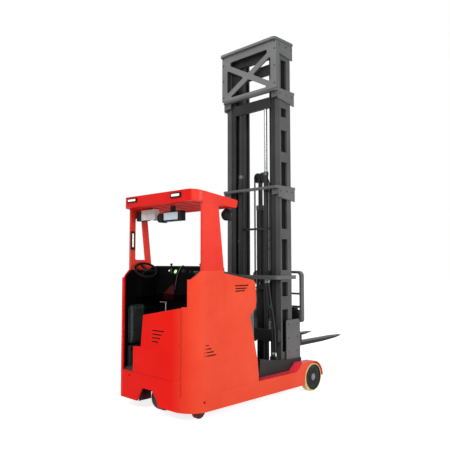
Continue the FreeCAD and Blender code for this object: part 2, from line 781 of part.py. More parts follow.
def reach_rod():
    """Rod of the reach cylinder, fixed in the notch of the front beam."""
    start = V(reach_barrel_rear + 15 + reach_stroke_back + seat_gap + 5, 0, reach_cylinder_z)
    return round_bar(reach_rod_radius, start, V(reach_rod_end, 0, reach_cylinder_z))


def section(z0, z1, rear_x, inner, face, web):
    """Left upright with two flanges and a web."""
    parts = [box(rear_x, rear_x + flange, inner, face, z0, z1),
             box(mast_front_x - flange, mast_front_x, inner, face, z0, z1),
             box(rear_x, mast_front_x, web[0], web[1], z0, z1)]
    return fuse(parts)


def roller_pair(x, y_web, y_tip, radius, heights):
    """Rollers on short axles that stand out from a web."""
    parts = []
    for z in heights:
        parts.append(round_bar(18, V(x, y_web, z), V(x, y_tip - 5, z)))
        parts.append(round_bar(radius, V(x, y_tip - 28, z), V(x, y_tip, z)))
    return parts


def outer_mast():
    """Outer uprights: battens close the outside between the ladder windows."""
    top = mast_height - band_plate
    side = section(mast_foot, top, mast_rear_x, outer_inner, outer_face, outer_web)
    filler = box(window_front_x, mast_front_x - flange, outer_web[1], outer_face, mast_foot, top)
    parts = [side, filler, box(mast_rear_x + flange, window_front_x, outer_web[1], outer_face, mast_foot, 480)]
    # Low and high edge of each batten, as shares of the mast's height
    battens = [(0.230, 0.266), (0.306, 0.339), (0.426, 0.455), (0.540, 0.576), (0.645, 0.674), (0.737, 0.775),
               (0.801, 0.857), (0.942, 0.990)]
    for low, high in battens:
        parts.append(box(mast_rear_x + flange, window_front_x, outer_web[1], outer_face,
                         low * mast_height, high * mast_height))
    return fuse(parts)


def strap_round(rear_x, half, front_x, low, top):
    """Flat strap round the back and both sides of the mast, with rounded rear corners."""
    strap = box(rear_x, front_x, -half, half, low, top)
    strap = upright_edges(strap, band_corner, lambda p: p.x < rear_x + 1)
    return strap.cut(box(mast_rear_x - 28, front_x + 5, -outer_face, outer_face, low, top))


def band(top, height, drop_rear, drop_front):
    """Strap round the mast; a tall one has end brackets behind and a box on each side that slants down."""
    parts = [strap_round(band_rear_x, band_half, band_front_x, top - height, top)]
    for y0, y1 in both_sides(outer_inner + 4, outer_face):
        parts.append(box(mast_rear_x - 28, mast_rear_x, y0, y1, top - height, top))
    if drop_rear == 0:
        return fuse(parts)
    front_x = band_front_x - 8
    for y0, y1 in both_sides(outer_face, band_half):
        parts.append(side_profile([(band_rear_x + 40, top - band_plate), (front_x, top - band_plate),
                                   (front_x, top - drop_front), (band_rear_x + 40, top - drop_rear)], y0, y1))
    for y0, y1 in both_sides(band_half - bracket_width, band_half):
        parts.append(box(band_rear_x + 40, band_rear_x + 40 + band_web, y0, y1, top - 100, top - band_plate))
    return fuse(parts)


def mast_bands():
    """The three plain bands, lowest first, as (top, height, drop at the rear, drop in front)."""
    rows = [(low_band, low_band_height, 0, 0), (middle_band, band_plate, 135, 176), (high_band, band_plate, 124, 173)]
    return Part.makeCompound([band(*row) for row in rows])


def mast_cross_beam():
    """Beam that ties the outer uprights behind the lift cylinders, low on the mast."""
    rear_x = mast_rear_x - 63
    beam = box(rear_x, rear_x + 40, -outer_face, outer_face, cross_beam_low, cross_beam_top)
    beam = rounded_edges(beam, 12, V(0, 1, 0), lambda p: True)
    parts = [beam]
    for y0, y1 in both_sides(outer_inner + 4, outer_face):
        parts.append(box(rear_x + 20, mast_rear_x, y0, y1, cross_beam_low + 20, cross_beam_top - 20))
    return fuse(parts)


def mast_head():
    """Top plate and side boxes, with the crossed frame behind."""
    top = mast_height
    half = band_half + 10
    front_x = band_front_x - 36
    plate_low = top - band_plate
    parts = [strap_round(head_rear_x, half, front_x, plate_low, top)]
    for y0, y1 in both_sides(outer_inner, outer_face):
        parts.append(box(mast_rear_x - 40, front_x, y0, y1, plate_low, top))
    for y0, y1 in both_sides(outer_face, band_half):
        parts.append(side_profile([(band_rear_x, plate_low), (front_x, plate_low), (front_x, top - 215),
                                   (band_rear_x, top - 170)], y0, y1))
    plate = box(band_rear_x, band_rear_x + 18, -band_half, band_half, high_band, plate_low)
    for points, radius in head_windows():
        plate = plate.cut(rounded_window(points, band_rear_x - 5, band_rear_x + 30, radius))
    parts.append(plate)
    for y0, y1 in both_sides(band_half - 14, band_half):
        parts.append(box(band_rear_x, band_rear_x + 66, y0, y1, high_band, plate_low))
    return fuse(parts)


def head_windows():
    """Four windows left by the crossed arms: top, left, right and bottom, each as (y, z) with its corner radius."""
    upper = head_middle_z + head_arm_half
    lower = head_middle_z - head_arm_half
    lens_end = upper + head_slope * head_lens_half
    lens = [(-head_lens_half, head_window_top), (head_lens_half, head_window_top), (head_lens_half, lens_end),
            (0, upper), (-head_lens_half, lens_end)]
    wide = head_window_half
    rise = head_slope * wide
    tip = head_arm_half / head_slope
    left = [(wide, lower + rise), (tip, head_middle_z), (wide, upper - rise)]
    right = [(-y, z) for y, z in left]
    foot = (lower - head_window_low) / head_slope
    bottom = [(foot, head_window_low), (0, lower), (-foot, head_window_low)]
    return [(lens, 22), (left, 16), (right, 16), (bottom, 10)]


def lift_barrels():
    """Two lift cylinder barrels behind the inner uprights, on a foot beam."""
    foot = box(beam_front_x, lift_x + 20, -lift_y - 30, lift_y + 30, mast_foot + 20, lift_foot)
    parts = [foot]
    for side in (-1, 1):
        y = side * lift_y
        parts.append(round_bar(lift_barrel_radius, V(lift_x, y, lift_foot), V(lift_x, y, lift_gland)))
    whole = fuse(parts)
    for side in (-1, 1):
        y = side * lift_y
        whole = whole.cut(round_bar(lift_rod_radius + slide_gap, V(lift_x, y, lift_foot + 20),
                                    V(lift_x, y, lift_gland + 5)))
    return whole


def lift_rods():
    """Two rods that push the cross bar of the middle stage."""
    rods = [round_bar(lift_rod_radius, V(lift_x, side * lift_y, lift_foot + 40), V(lift_x, side * lift_y, lift_head))
            for side in (-1, 1)]
    return Part.makeCompound(rods)


def middle_mast():
    """Middle uprights with cross bars behind, and rollers in the outer uprights."""
    rear = mast_rear_x + 6
    side = section(middle_foot, middle_top, rear, middle_inner, middle_face, middle_web)
    x = (mast_rear_x + mast_front_x) / 2
    radius = (mast_front_x - mast_rear_x) / 2 - flange - roller_gap
    rollers = roller_pair(x, middle_web[1], outer_web[0] - roller_gap, radius, (middle_foot + 140, middle_foot + 1040))
    half = fuse([side] + rollers)
    parts = [half, mirrored(half)]
    inner = middle_inner + 6
    back = mast_rear_x - 13
    parts.append(box(back, rear + 18, -inner, inner, lift_head, lift_head + 130))
    for low, high in ((mast_height - 405, mast_height - 270), (middle_top - 130, middle_top)):
        parts.append(box(rear, rear + 18, -inner, inner, low, high))
    return fuse(parts)


def inner_mast():
    """Inner uprights with cross bars and rollers in the middle uprights."""
    side = section(inner_foot, inner_top, inner_rear_x, inner_inner, inner_face, inner_web)
    middle_rear = mast_rear_x + 6
    x = (middle_rear + mast_front_x) / 2
    radius = (mast_front_x - middle_rear) / 2 - flange - roller_gap
    rollers = roller_pair(x, inner_web[1], middle_web[0] - roller_gap, radius, (inner_foot + 160, inner_foot + 1060))
    half = fuse([side] + rollers)
    parts = [half, mirrored(half)]
    inner = inner_inner + 5
    bars = [(inner_foot, inner_foot + 80), (chain_foot - 60, chain_foot - 5), (1935, 1960), (inner_top - 90, inner_top)]
    for z0, z1 in bars:
        parts.append(box(inner_rear_x, inner_rear_x + 18, -inner, inner, z0, z1))
    for side in (-1, 1):
        parts.append(box(inner_rear_x, inner_rear_x + 36, *sorted((side * 26, side * 52)),
                         chain_foot - 30, chain_foot))
    parts.append(box(inner_rear_x + 10, mast_front_x, -55, 55, inner_foot, free_foot))
    return fuse(parts)


def free_lift_barrel():
    """Barrel of the central cylinder, on the foot of the inner stage."""
    whole = round_bar(free_barrel_radius, V(free_x, 0, free_foot), V(free_x, 0, free_gland))
    return whole.cut(round_bar(free_rod_radius + slide_gap, V(free_x, 0, free_foot + 30), V(free_x, 0, free_gland + 5)))


def free_lift_rod():
    """Rod of the central cylinder."""
    return round_bar(free_rod_radius, V(free_x, 0, free_foot + 560), V(free_x, 0, free_head))


def free_lift_head():
    """Head block on the rod, with a pin that carries the two chain sheaves."""
    z = free_head + 60
    parts = [box(free_x - 40, free_x + 40, -16, 16, free_head, free_head + 95),
             round_bar(16, V(free_x, -62, z), V(free_x, 62, z))]
    for y0, y1 in both_sides(22, 56):
        parts.append(round_bar(sheave_radius, V(free_x, y0, z), V(free_x, y1, z)))
    return fuse(parts)


def carriage_chains():
    """Two chains over the sheaves: behind to the barrel, in front to the carriage."""
    chains = []
    z = free_head + 60
    outer = sheave_radius + 12
    inner = sheave_radius + seat_gap
    for side in (-1, 1):
        y0, y1 = sorted((side * 28, side * 50))
        arch = tube(outer, inner, V(free_x, y0, z), V(free_x, y1, z))
        arch = arch.common(box(free_x - 100, free_x + 100, y0, y1, z, z + 100))
        front = box(free_x + inner, free_x + outer, y0, y1, chain_lug_top, z)
        rear = box(free_x - outer, free_x - inner, y0, y1, chain_foot, z)
        chains.append(fuse([arch, front, rear]))
    return Part.makeCompound(chains)


def carriage_frame():
    """Fork carriage: side plates with rollers in the inner uprights, and two cross plates."""
    y1 = carriage_plate_y
    y0 = y1 - carriage_plate
    outline = [(1690, carriage_low), (1690, carriage_top), (1860, carriage_top), (carriage_front_x, 930),
               (carriage_front_x, 560), (1870, carriage_low)]
    plate = side_profile(outline, y0, y1)
    x = (inner_rear_x + mast_front_x) / 2
    radius = (mast_front_x - inner_rear_x) / 2 - flange - roller_gap
    half = [plate] + roller_pair(x, y0, inner_web[0] - roller_gap, radius, (carriage_low + 60, carriage_top - 70))
    lug_outline = [(carriage_front_x - 5, 560), (carriage_front_x - 5, 640), (tilt_pivot_x, 640),
                   (tilt_pivot_x + 26, 622), (tilt_pivot_x + 26, 578), (tilt_pivot_x, 560)]
    half.append(side_profile(lug_outline, 150, 174))
    parts = half + [mirrored(shape) for shape in half]
    cross = inner_inner + 100
    parts.append(box(carriage_front_x - 40, carriage_front_x, -cross, cross, 850, 930))
    parts.append(box(carriage_front_x - 40, carriage_front_x, -cross, cross, 560, 650))
    parts.append(round_bar(20, V(tilt_pivot_x, -240, tilt_pivot_z), V(tilt_pivot_x, 240, tilt_pivot_z)))
    for side in (-1, 1):
        y = side * 120
        parts.append(tube(34, 24, V(carriage_front_x, y, 890), V(carriage_front_x + 55, y, 890)))
        parts.append(box(free_x + sheave_radius - 4, carriage_front_x - 30, *sorted((side * 24, side * 54)),
                         chain_lug_top - 25, chain_lug_top))
    return fuse(parts)


def fork_frame():
    """Tilting frame: two bars on ears that turn on the lower pin, and the rods of the tilt cylinders."""
    front = bar_rear_x + bar_depth
    parts = [box(bar_rear_x, front, -backrest_half, backrest_half, 797, shank_top),
             box(bar_rear_x, front, -backrest_half, backrest_half, 520, 640)]
    for y in (-360, -210, 186, 336):
        parts.append(box(bar_rear_x, front, y, y + 24, 640, 797))
    for y in (-210, 186):
        ear = side_profile([(bar_rear_x + 5, 540), (bar_rear_x + 5, 700), (tilt_pivot_x - 8, 632),
                            (tilt_pivot_x - 30, 612), (tilt_pivot_x - 30, 588), (tilt_pivot_x - 8, 568)], y, y + 24)
        parts.append(ear)
    for y in (-120, 120):
        parts.append(round_bar(15, V(carriage_front_x + 35, y, 890), V(bar_rear_x, y, 890)))
    whole = fuse(parts)
    return whole.cut(round_bar(20 + slide_gap, V(tilt_pivot_x, -250, tilt_pivot_z), V(tilt_pivot_x, 250, tilt_pivot_z)))


def fork(y):
    """Forged fork: an upright shank hooked on the bars and a blade that tapers to its tip."""
    rear = bar_rear_x + bar_depth
    heel = fork_top_z - fork_thick - 4
    outline = [(rear, 505), (rear + 14, heel + 6), (rear + 34, heel), (2600, heel + 6), (fork_tip_x, fork_top_z - 10),
               (fork_tip_x, fork_top_z), (load_face_x + 14, fork_top_z), (load_face_x, fork_top_z + 14),
               (load_face_x, shank_top - 30), (load_face_x - 14, shank_top + 16), (rear - 18, shank_top + 16),
               (rear - 18, shank_top), (rear, shank_top)]
    bar = side_profile(outline, y - fork_width / 2, y + fork_width / 2)
    cut = 34
    tip = plan_profile([(fork_tip_x - 190, y + fork_width / 2 + 1), (fork_tip_x + 1, y + fork_width / 2 + 1),
                        (fork_tip_x + 1, y + fork_width / 2 - cut)], 0, 1200)
    other = plan_profile([(fork_tip_x - 190, y - fork_width / 2 - 1), (fork_tip_x + 1, y - fork_width / 2 - 1),
                          (fork_tip_x + 1, y - fork_width / 2 + cut)], 0, 1200)
    return bar.cut(tip).cut(other)


def load_backrest():
    """Welded frame above the forks, bolted to the front of the bars."""
    x0 = bar_rear_x + bar_depth
    x1 = load_face_x - 2
    half = backrest_half
    inner = half - backrest_bar
    outside = box(x0, x1, -half, half, backrest_low, backrest_top)
    outside = rounded_edges(outside, 62, V(1, 0, 0), lambda p: p.z > backrest_low + 1)
    outside = rounded_edges(outside, 30, V(1, 0, 0), lambda p: p.z < backrest_low + 1)
    inside = box(x0 - 5, x1 + 5, -inner, inner, backrest_low - 100, backrest_top - backrest_bar)
    inside = rounded_edges(inside, 34, V(1, 0, 0), lambda p: p.z > backrest_low)
    parts = [outside.cut(inside)]
    for z0, z1 in ((1128, 1150), (shank_top + 20, shank_top + 45)):
        parts.append(box(x0 + 8, x1 - 8, -inner - 5, inner + 5, z0, z1))
    for y in (-140, 120):
        parts.append(box(x0 + 8, x1 - 8, y, y + 20, shank_top + 20, backrest_top - 20))
    return fuse(parts)


def smooth_route(points, radius):
    """Tube along straight runs joined by tangent arcs."""
    edges = []
    last = points[0]
    for i in range(1, len(points) - 1):
        before = points[i - 1].sub(points[i])
        after = points[i + 1].sub(points[i])
        run = min(before.Length, after.Length) * hose_bend_share
        before.normalize()
        after.normalize()
        start = points[i].add(V(before).multiply(run))
        end = points[i].add(V(after).multiply(run))
        half_turn = before.getAngle(after) / 2
        middle = V(before).add(after).normalize()
        reach = run / math.cos(half_turn)
        bend = run * math.tan(half_turn)
        top = points[i].add(V(middle).multiply(reach - bend))
        if last.sub(start).Length > 0.01:
            edges.append(Part.LineSegment(last, start).toShape())
        edges.append(Part.Arc(start, top, end).toShape())
        last = end
    edges.append(Part.LineSegment(last, points[-1]).toShape())
    path = Part.Wire(edges)
    along = points[1].sub(points[0])
    ring = Part.Wire(Part.makeCircle(radius, points[0], along))
    return path.makePipeShell([ring], True, True)


def mast_hoses():
    """Two hydraulic hoses that hang behind the mast, from its lowest band to the valve block."""
    hoses = []
    for shift in (0, 36):
        route = [V(1526, -296 + shift, low_band - low_band_height - seat_gap), V(1526, -296 + shift, 1280),
                 V(1506, -330 + shift, 1170), V(1492, -372 + shift, 990), V(1498, -408 + shift, 800),
                 V(1502, -414 + shift, 620), V(1502, -414 + shift, hose_block_top + seat_gap)]
        hoses.append(smooth_route(route, hose_radius))
    return Part.makeCompound(hoses)


def build_all():
    """Every piece under its own name."""
    pieces["rear_skirt"] = rear_skirt()
    pieces["rear_cover"] = rear_cover()
    pieces["side_panel_right"] = side_panel_right()
    pieces["side_panel_left"] = side_panel_left()
    pieces["chassis_frame"] = chassis_frame()
    pieces["outrigger_left"] = outrigger()
    pieces["load_axle_left"] = load_axle()
    pieces["load_wheel_left"] = load_wheel()
    pieces["outrigger_right"] = mirrored(pieces["outrigger_left"])
    pieces["load_axle_right"] = mirrored(pieces["load_axle_left"])
    pieces["load_wheel_right"] = mirrored(pieces["load_wheel_left"])
    pieces["drive_unit"] = drive_unit()
    pieces["drive_wheel"] = drive_wheel()
    pieces["caster_fork"] = caster_fork()
    pieces["caster_wheel"] = caster_wheel()
    pieces["battery"] = battery()
    pieces["battery_hood"] = battery_hood()
    pieces["cab_floor"] = cab_floor()
    pieces["cab_liner"], pieces["machine_room"] = cab_liner()
    pieces["console"] = console()
    pieces["steering_column"] = steering_column()
    pieces["steering_wheel"] = steering_wheel()
    pieces["hand_levers"] = hand_levers()
    pieces["hip_pad"] = hip_pad()
    pieces["guard_roof"] = guard_roof()
    pieces["pillar_right"] = pillar_right()
    pieces["pillar_left"] = pillar_left()
    pieces["guard_lamps"] = guard_lamps()
    pieces["cab_lamp"] = cab_lamp()
    pieces["cab_mirror"] = cab_mirror()
    pieces["work_lamp"] = work_lamp()
    pieces["reach_frame"] = reach_frame()
    pieces["reach_barrel"] = reach_barrel()
    pieces["reach_rod"] = reach_rod()
    pieces["outer_mast"] = Part.makeCompound([outer_mast(), mirrored(outer_mast())])
    pieces["mast_bands"] = mast_bands()
    pieces["mast_head"] = mast_head()
    pieces["mast_cross_beam"] = mast_cross_beam()
    pieces["lift_barrels"] = lift_barrels()
    pieces["lift_rods"] = lift_rods()
    pieces["middle_mast"] = middle_mast()
    pieces["inner_mast"] = inner_mast()
    pieces["free_lift_barrel"] = free_lift_barrel()
    pieces["free_lift_rod"] = free_lift_rod()
    pieces["free_lift_head"] = free_lift_head()
    pieces["carriage_chains"] = carriage_chains()
    pieces["carriage_frame"] = carriage_frame()
    pieces["fork_frame"] = fork_frame()
    pieces["fork_left"] = fork(fork_y)
    pieces["fork_right"] = fork(-fork_y)
    pieces["load_backrest"] = load_backrest()
    pieces["mast_hoses"] = mast_hoses()


def write_pieces():
    """Each piece to its own file, moved to the truck's own origin."""
    os.makedirs("parts", exist_ok=True)
    for name, shape in pieces.items():
        placed = shape.copy()
        placed.translate(V(-origin_x, 0, 0))
        placed.exportStep("parts/" + name + ".step")
        print(name, len(shape.Solids), shape.isValid(), round(shape.Volume / 1e6, 2))


build_all()
write_pieces()
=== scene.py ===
import math

import bmesh
import bpy
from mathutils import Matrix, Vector


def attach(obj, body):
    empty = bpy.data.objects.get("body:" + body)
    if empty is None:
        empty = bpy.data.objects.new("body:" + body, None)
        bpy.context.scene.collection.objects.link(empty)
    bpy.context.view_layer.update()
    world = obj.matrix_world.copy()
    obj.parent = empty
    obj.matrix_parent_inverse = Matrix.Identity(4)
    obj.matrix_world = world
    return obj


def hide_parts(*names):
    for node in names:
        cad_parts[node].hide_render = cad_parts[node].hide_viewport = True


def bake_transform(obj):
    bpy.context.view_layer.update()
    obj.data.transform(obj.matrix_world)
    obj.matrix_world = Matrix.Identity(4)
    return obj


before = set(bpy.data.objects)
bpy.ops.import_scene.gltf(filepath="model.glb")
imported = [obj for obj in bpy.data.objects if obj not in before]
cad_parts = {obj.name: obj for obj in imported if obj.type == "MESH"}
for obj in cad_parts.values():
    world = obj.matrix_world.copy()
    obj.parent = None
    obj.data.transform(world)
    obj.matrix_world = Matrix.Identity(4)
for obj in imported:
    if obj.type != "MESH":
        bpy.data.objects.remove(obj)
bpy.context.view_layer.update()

# Places, from the rear face of the body as in the part's source, and sizes in millimetres
ORIGIN_X = 1555.0
HALF_WIDTH = 610.0
CORNER_RIGHT = 230.0
SKIRT_TOP = 385.0
PANEL_OUTSIDE = 606.0
GUSSET_FOOT = 462.0
HOOD_CHEEK_TOP = 1150.0
OUTER_WEB_FACE = 412.0
INNER_WEB_FACE = 262.0
MAST_HEIGHT = 4245.0
HEAD_BAND_TOP = 3630.0
MIDDLE_BAND_TOP = MAST_HEIGHT * 0.576
WHEEL_X, WHEEL_Z = 1984.0, 165.0
TREAD_INSIDE = 149.0
HUB_CAP_RADIUS = 36.0
DRIVE_X, DRIVE_Y, DRIVE_Z = 235.0, 40.0, 150.0
DRIVE_HUB_RADIUS = 101.0
BARREL_X, BARREL_Y, BARREL_TOP = 1596.0, 206.0, 2640.0
FREE_X = 1733.0
SHEAVE_Z = 2600.0
SHEAVE_RADIUS = 58.0
CHAIN_Y = 39.0
CHAIN_FOOT = 1262.0
CHAIN_LUG_TOP = 930.0
STEER_CENTRE = Vector((277.0, 445.0, 1445.5))
STEER_AXIS = Vector((-0.205, -0.585, 0.785)).normalized()
BACKWARD, FORWARD = Vector((-1, 0, 0)), Vector((1, 0, 0))
RIGHTWARD, LEFTWARD = Vector((0, -1, 0)), Vector((0, 1, 0))
UPWARD = Vector((0, 0, 1))
SIDES = (-1, 1)

# Camera in metres and degrees
CAMERA_PLACE = Vector((-4.912, -4.364, 1.531))
CAMERA_YAW = 44.47
CAMERA_PITCH = 4.04
CAMERA_FOCAL_PX = 529.5
PHOTO_SIDE_PX = 450

# Lamps in metres and watts: name, place, height aimed at, side and power
LAMPS = [("key", (-6.0, -2.5, 5.5), 1.2, 3.5, 235),
         ("side", (0.5, -7.0, 3.0), 1.2, 3.5, 215),
         ("fill", (-5.0, 4.0, 3.0), 1.5, 4.0, 12)]
FLOOR_HALF = 40.0
FLOOR_GLOW = 0.8
WORLD_LIGHT = 0.4


def mm(x, y, z):
    """Point in metres in the truck's frame from millimetres counted from the rear face."""
    return Vector(((x - ORIGIN_X) / 1000, y / 1000, z / 1000))


# Materials; lengths in their nodes are in metres

ROUND_EDGE = 0.004
# Colour of the painted highlight along the edges of the body paint
BODY_EDGE_HIGHLIGHT = (0.95, 0.16, 0.10)
# Millimetres before the round corner at which the painted rear shade begins to turn into the painted side
# light
GRADIENT_LEAD = 40


def new_material(name, base, rough, metal=0.0, specular=0.5):
    """Material with a Principled shader; returns it with its tree and shader."""
    material = bpy.data.materials.new(name)
    material.use_nodes = True
    tree = material.node_tree
    shader = tree.nodes["Principled BSDF"]
    shader.inputs["Base Color"].default_value = (*base, 1)
    shader.inputs["Roughness"].default_value = rough
    shader.inputs["Metallic"].default_value = metal
    shader.inputs["Specular IOR Level"].default_value = specular
    return material, tree, shader


def add_noise(tree, scale, detail=3.0, stretch=(1, 1, 1)):
    """Noise in object coordinates."""
    place = tree.nodes.new("ShaderNodeTexCoord")
    spread = tree.nodes.new("ShaderNodeMapping")
    spread.inputs["Scale"].default_value = stretch
    noise = tree.nodes.new("ShaderNodeTexNoise")
    noise.inputs["Scale"].default_value = scale
    noise.inputs["Detail"].default_value = detail
    tree.links.new(place.outputs["Object"], spread.inputs["Vector"])
    tree.links.new(spread.outputs["Vector"], noise.inputs["Vector"])
    return noise


def colour_ramp(tree, stops):
    """Ramp from (position, colour) rows."""
    ramp = tree.nodes.new("ShaderNodeValToRGB")
    for element, (place, colour) in zip(ramp.color_ramp.elements, stops):
        element.position = place
        element.color = (*colour, 1)
    return ramp


def vary_colour(tree, dark, light, scale, stretch=(1, 1, 1)):
    """Colour that drifts between two shades."""
    ramp = colour_ramp(tree, [(0.35, dark), (0.65, light)])
    tree.links.new(add_noise(tree, scale, 3.0, stretch).outputs["Fac"], ramp.inputs["Fac"])
    return ramp.outputs["Color"]


def vary_shade(tree, shader, shade, share, scale, stretch=(1, 1, 1)):
    """Base colour that drifts between a shade and a darker share of it."""
    darker = tuple(c * share for c in shade)
    tree.links.new(vary_colour(tree, darker, shade, scale, stretch), shader.inputs["Base Color"])


def painted_edge_highlight(tree, radius):
    """0 on flat faces and up to 1 on edges, where a painted highlight goes, broken up by noise."""
    edge = tree.nodes.new("ShaderNodeBevel")
    edge.samples = 4
    edge.inputs["Radius"].default_value = radius
    geometry = tree.nodes.new("ShaderNodeNewGeometry")
    dot = tree.nodes.new("ShaderNodeVectorMath")
    dot.operation = "DOT_PRODUCT"
    tree.links.new(edge.outputs["Normal"], dot.inputs[0])
    tree.links.new(geometry.outputs["Normal"], dot.inputs[1])
    highlight_share = tree.nodes.new("ShaderNodeMapRange")
    highlight_share.inputs["From Min"].default_value = 0.985
    highlight_share.inputs["From Max"].default_value = 0.9
    tree.links.new(dot.outputs["Value"], highlight_share.inputs["Value"])
    broken = tree.nodes.new("ShaderNodeMath")
    broken.operation = "MULTIPLY"
    tree.links.new(highlight_share.outputs["Result"], broken.inputs[0])
    tree.links.new(add_noise(tree, 45.0).outputs["Fac"], broken.inputs[1])
    return broken.outputs["Value"]


def mix_colour(tree, share, first, second):
    """Mix of a colour socket with a fixed colour by a value socket."""
    mix = tree.nodes.new("ShaderNodeMix")
    mix.data_type = "RGBA"
    tree.links.new(share, mix.inputs["Factor"])
    tree.links.new(first, mix.inputs["A"])
    mix.inputs["B"].default_value = (*second, 1)
    return mix.outputs["Result"]


def vary_rough(tree, shader, low, high, scale):
    """Roughness that drifts between two values."""
    spread = tree.nodes.new("ShaderNodeMapRange")
    spread.inputs["To Min"].default_value = low
    spread.inputs["To Max"].default_value = high
    tree.links.new(add_noise(tree, scale, 5.0).outputs["Fac"], spread.inputs["Value"])
    tree.links.new(spread.outputs["Result"], shader.inputs["Roughness"])


def add_relief(tree, shader, scale, strength, round_edge, stretch=(1, 1, 1)):
    """Fine bump over softly rounded edges."""
    edge = tree.nodes.new("ShaderNodeBevel")
    edge.samples = 4
    edge.inputs["Radius"].default_value = round_edge
    bump = tree.nodes.new("ShaderNodeBump")
    bump.inputs["Strength"].default_value = strength
    bump.inputs["Distance"].default_value = 0.001
    tree.links.new(add_noise(tree, scale, 2.0, stretch).outputs["Fac"], bump.inputs["Height"])
    tree.links.new(edge.outputs["Normal"], bump.inputs["Normal"])
    tree.links.new(bump.outputs["Normal"], shader.inputs["Normal"])


def paint(name, dark, light, rough=(0.42, 0.55), grain=900.0, strength=0.05, specular=0.3, highlight_colour=None):
    """Sprayed paint with slight orange peel and a painted highlight along its edges."""
    material, tree, shader = new_material(name, light, rough[0], 0.0, specular)
    highlight_colour = highlight_colour or tuple(min(1.0, c * 1.25 + 0.02) for c in light)
    colour = mix_colour(tree, painted_edge_highlight(tree, ROUND_EDGE), vary_colour(tree, dark, light, 2.2), highlight_colour)
    tree.links.new(colour, shader.inputs["Base Color"])
    vary_rough(tree, shader, rough[0], rough[1], 14.0)
    add_relief(tree, shader, grain, strength, ROUND_EDGE)
    return material


def body_paint(name, rear, side, rough=(0.34, 0.46)):
    """Body paint with painted light: two darker shades for the rear's shade and two lighter ones for the
    lit side, mixed round the right corner.
    """
    material, tree, shader = new_material(name, rear[1], rough[0], 0.0, 0.06)
    place = tree.nodes.new("ShaderNodeTexCoord")
    parts = tree.nodes.new("ShaderNodeSeparateXYZ")
    share = tree.nodes.new("ShaderNodeMapRange")
    share.inputs["From Min"].default_value = (CORNER_RIGHT - HALF_WIDTH + GRADIENT_LEAD) / 1000
    share.inputs["From Max"].default_value = -HALF_WIDTH / 1000
    tree.links.new(place.outputs["Object"], parts.inputs["Vector"])
    tree.links.new(parts.outputs["Y"], share.inputs["Value"])
    mix = tree.nodes.new("ShaderNodeMix")
    mix.data_type = "RGBA"
    tree.links.new(share.outputs["Result"], mix.inputs["Factor"])
    tree.links.new(vary_colour(tree, *rear, 2.2), mix.inputs["A"])
    tree.links.new(vary_colour(tree, *side, 2.2), mix.inputs["B"])
    colour = mix_colour(tree, painted_edge_highlight(tree, ROUND_EDGE), mix.outputs["Result"], BODY_EDGE_HIGHLIGHT)
    tree.links.new(colour, shader.inputs["Base Color"])
    vary_rough(tree, shader, rough[0], rough[1], 14.0)
    add_relief(tree, shader, 900.0, 0.05, ROUND_EDGE)
    return material


def plastic(name, shade, rough=(0.5, 0.7), grain=700.0, strength=0.25, specular=0.3):
    """Moulded plastic or rubber with a fine grain."""
    material, tree, shader = new_material(name, shade, rough[0], 0.0, specular)
    vary_shade(tree, shader, shade, 0.72, 6.0)
    vary_rough(tree, shader, rough[0], rough[1], 30.0)
    add_relief(tree, shader, grain, strength, 0.002)
    return material


def metal(name, shade, rough, stretch=(1, 1, 1), grain=300.0):
    """Bare or plated metal, drawn along one direction."""
    material, tree, shader = new_material(name, shade, rough[0], 1.0)
    vary_shade(tree, shader, shade, 0.78, 9.0, stretch)
    vary_rough(tree, shader, rough[0], rough[1], 60.0)
    add_relief(tree, shader, grain, 0.05, 0.001, stretch)
    return material


def vinyl(name, shade):
    """Leather cloth with small round cells."""
    material, tree, shader = new_material(name, shade, 0.5, 0.0, 0.4)
    vary_shade(tree, shader, shade, 0.7, 8.0)
    vary_rough(tree, shader, 0.42, 0.6, 40.0)
    place = tree.nodes.new("ShaderNodeTexCoord")
    cells = tree.nodes.new("ShaderNodeTexVoronoi")
    cells.inputs["Scale"].default_value = 420.0
    bump = tree.nodes.new("ShaderNodeBump")
    bump.inputs["Strength"].default_value = 0.35
    bump.inputs["Distance"].default_value = 0.0006
    tree.links.new(place.outputs["Object"], cells.inputs["Vector"])
    tree.links.new(cells.outputs["Distance"], bump.inputs["Height"])
    tree.links.new(bump.outputs["Normal"], shader.inputs["Normal"])
    return material


def glowing(name, shade, glow, strength):
    """Lens that gives a little light of its own, with fine prisms."""
    material, tree, shader = new_material(name, shade, 0.25)
    shader.inputs["Emission Color"].default_value = (*glow, 1)
    shader.inputs["Emission Strength"].default_value = strength
    vary_shade(tree, shader, shade, 0.85, 60.0)
    add_relief(tree, shader, 260.0, 0.3, 0.001, (0.1, 1, 1))
    return material


def grey(value):
    """Neutral colour."""
    return (value, value, value)
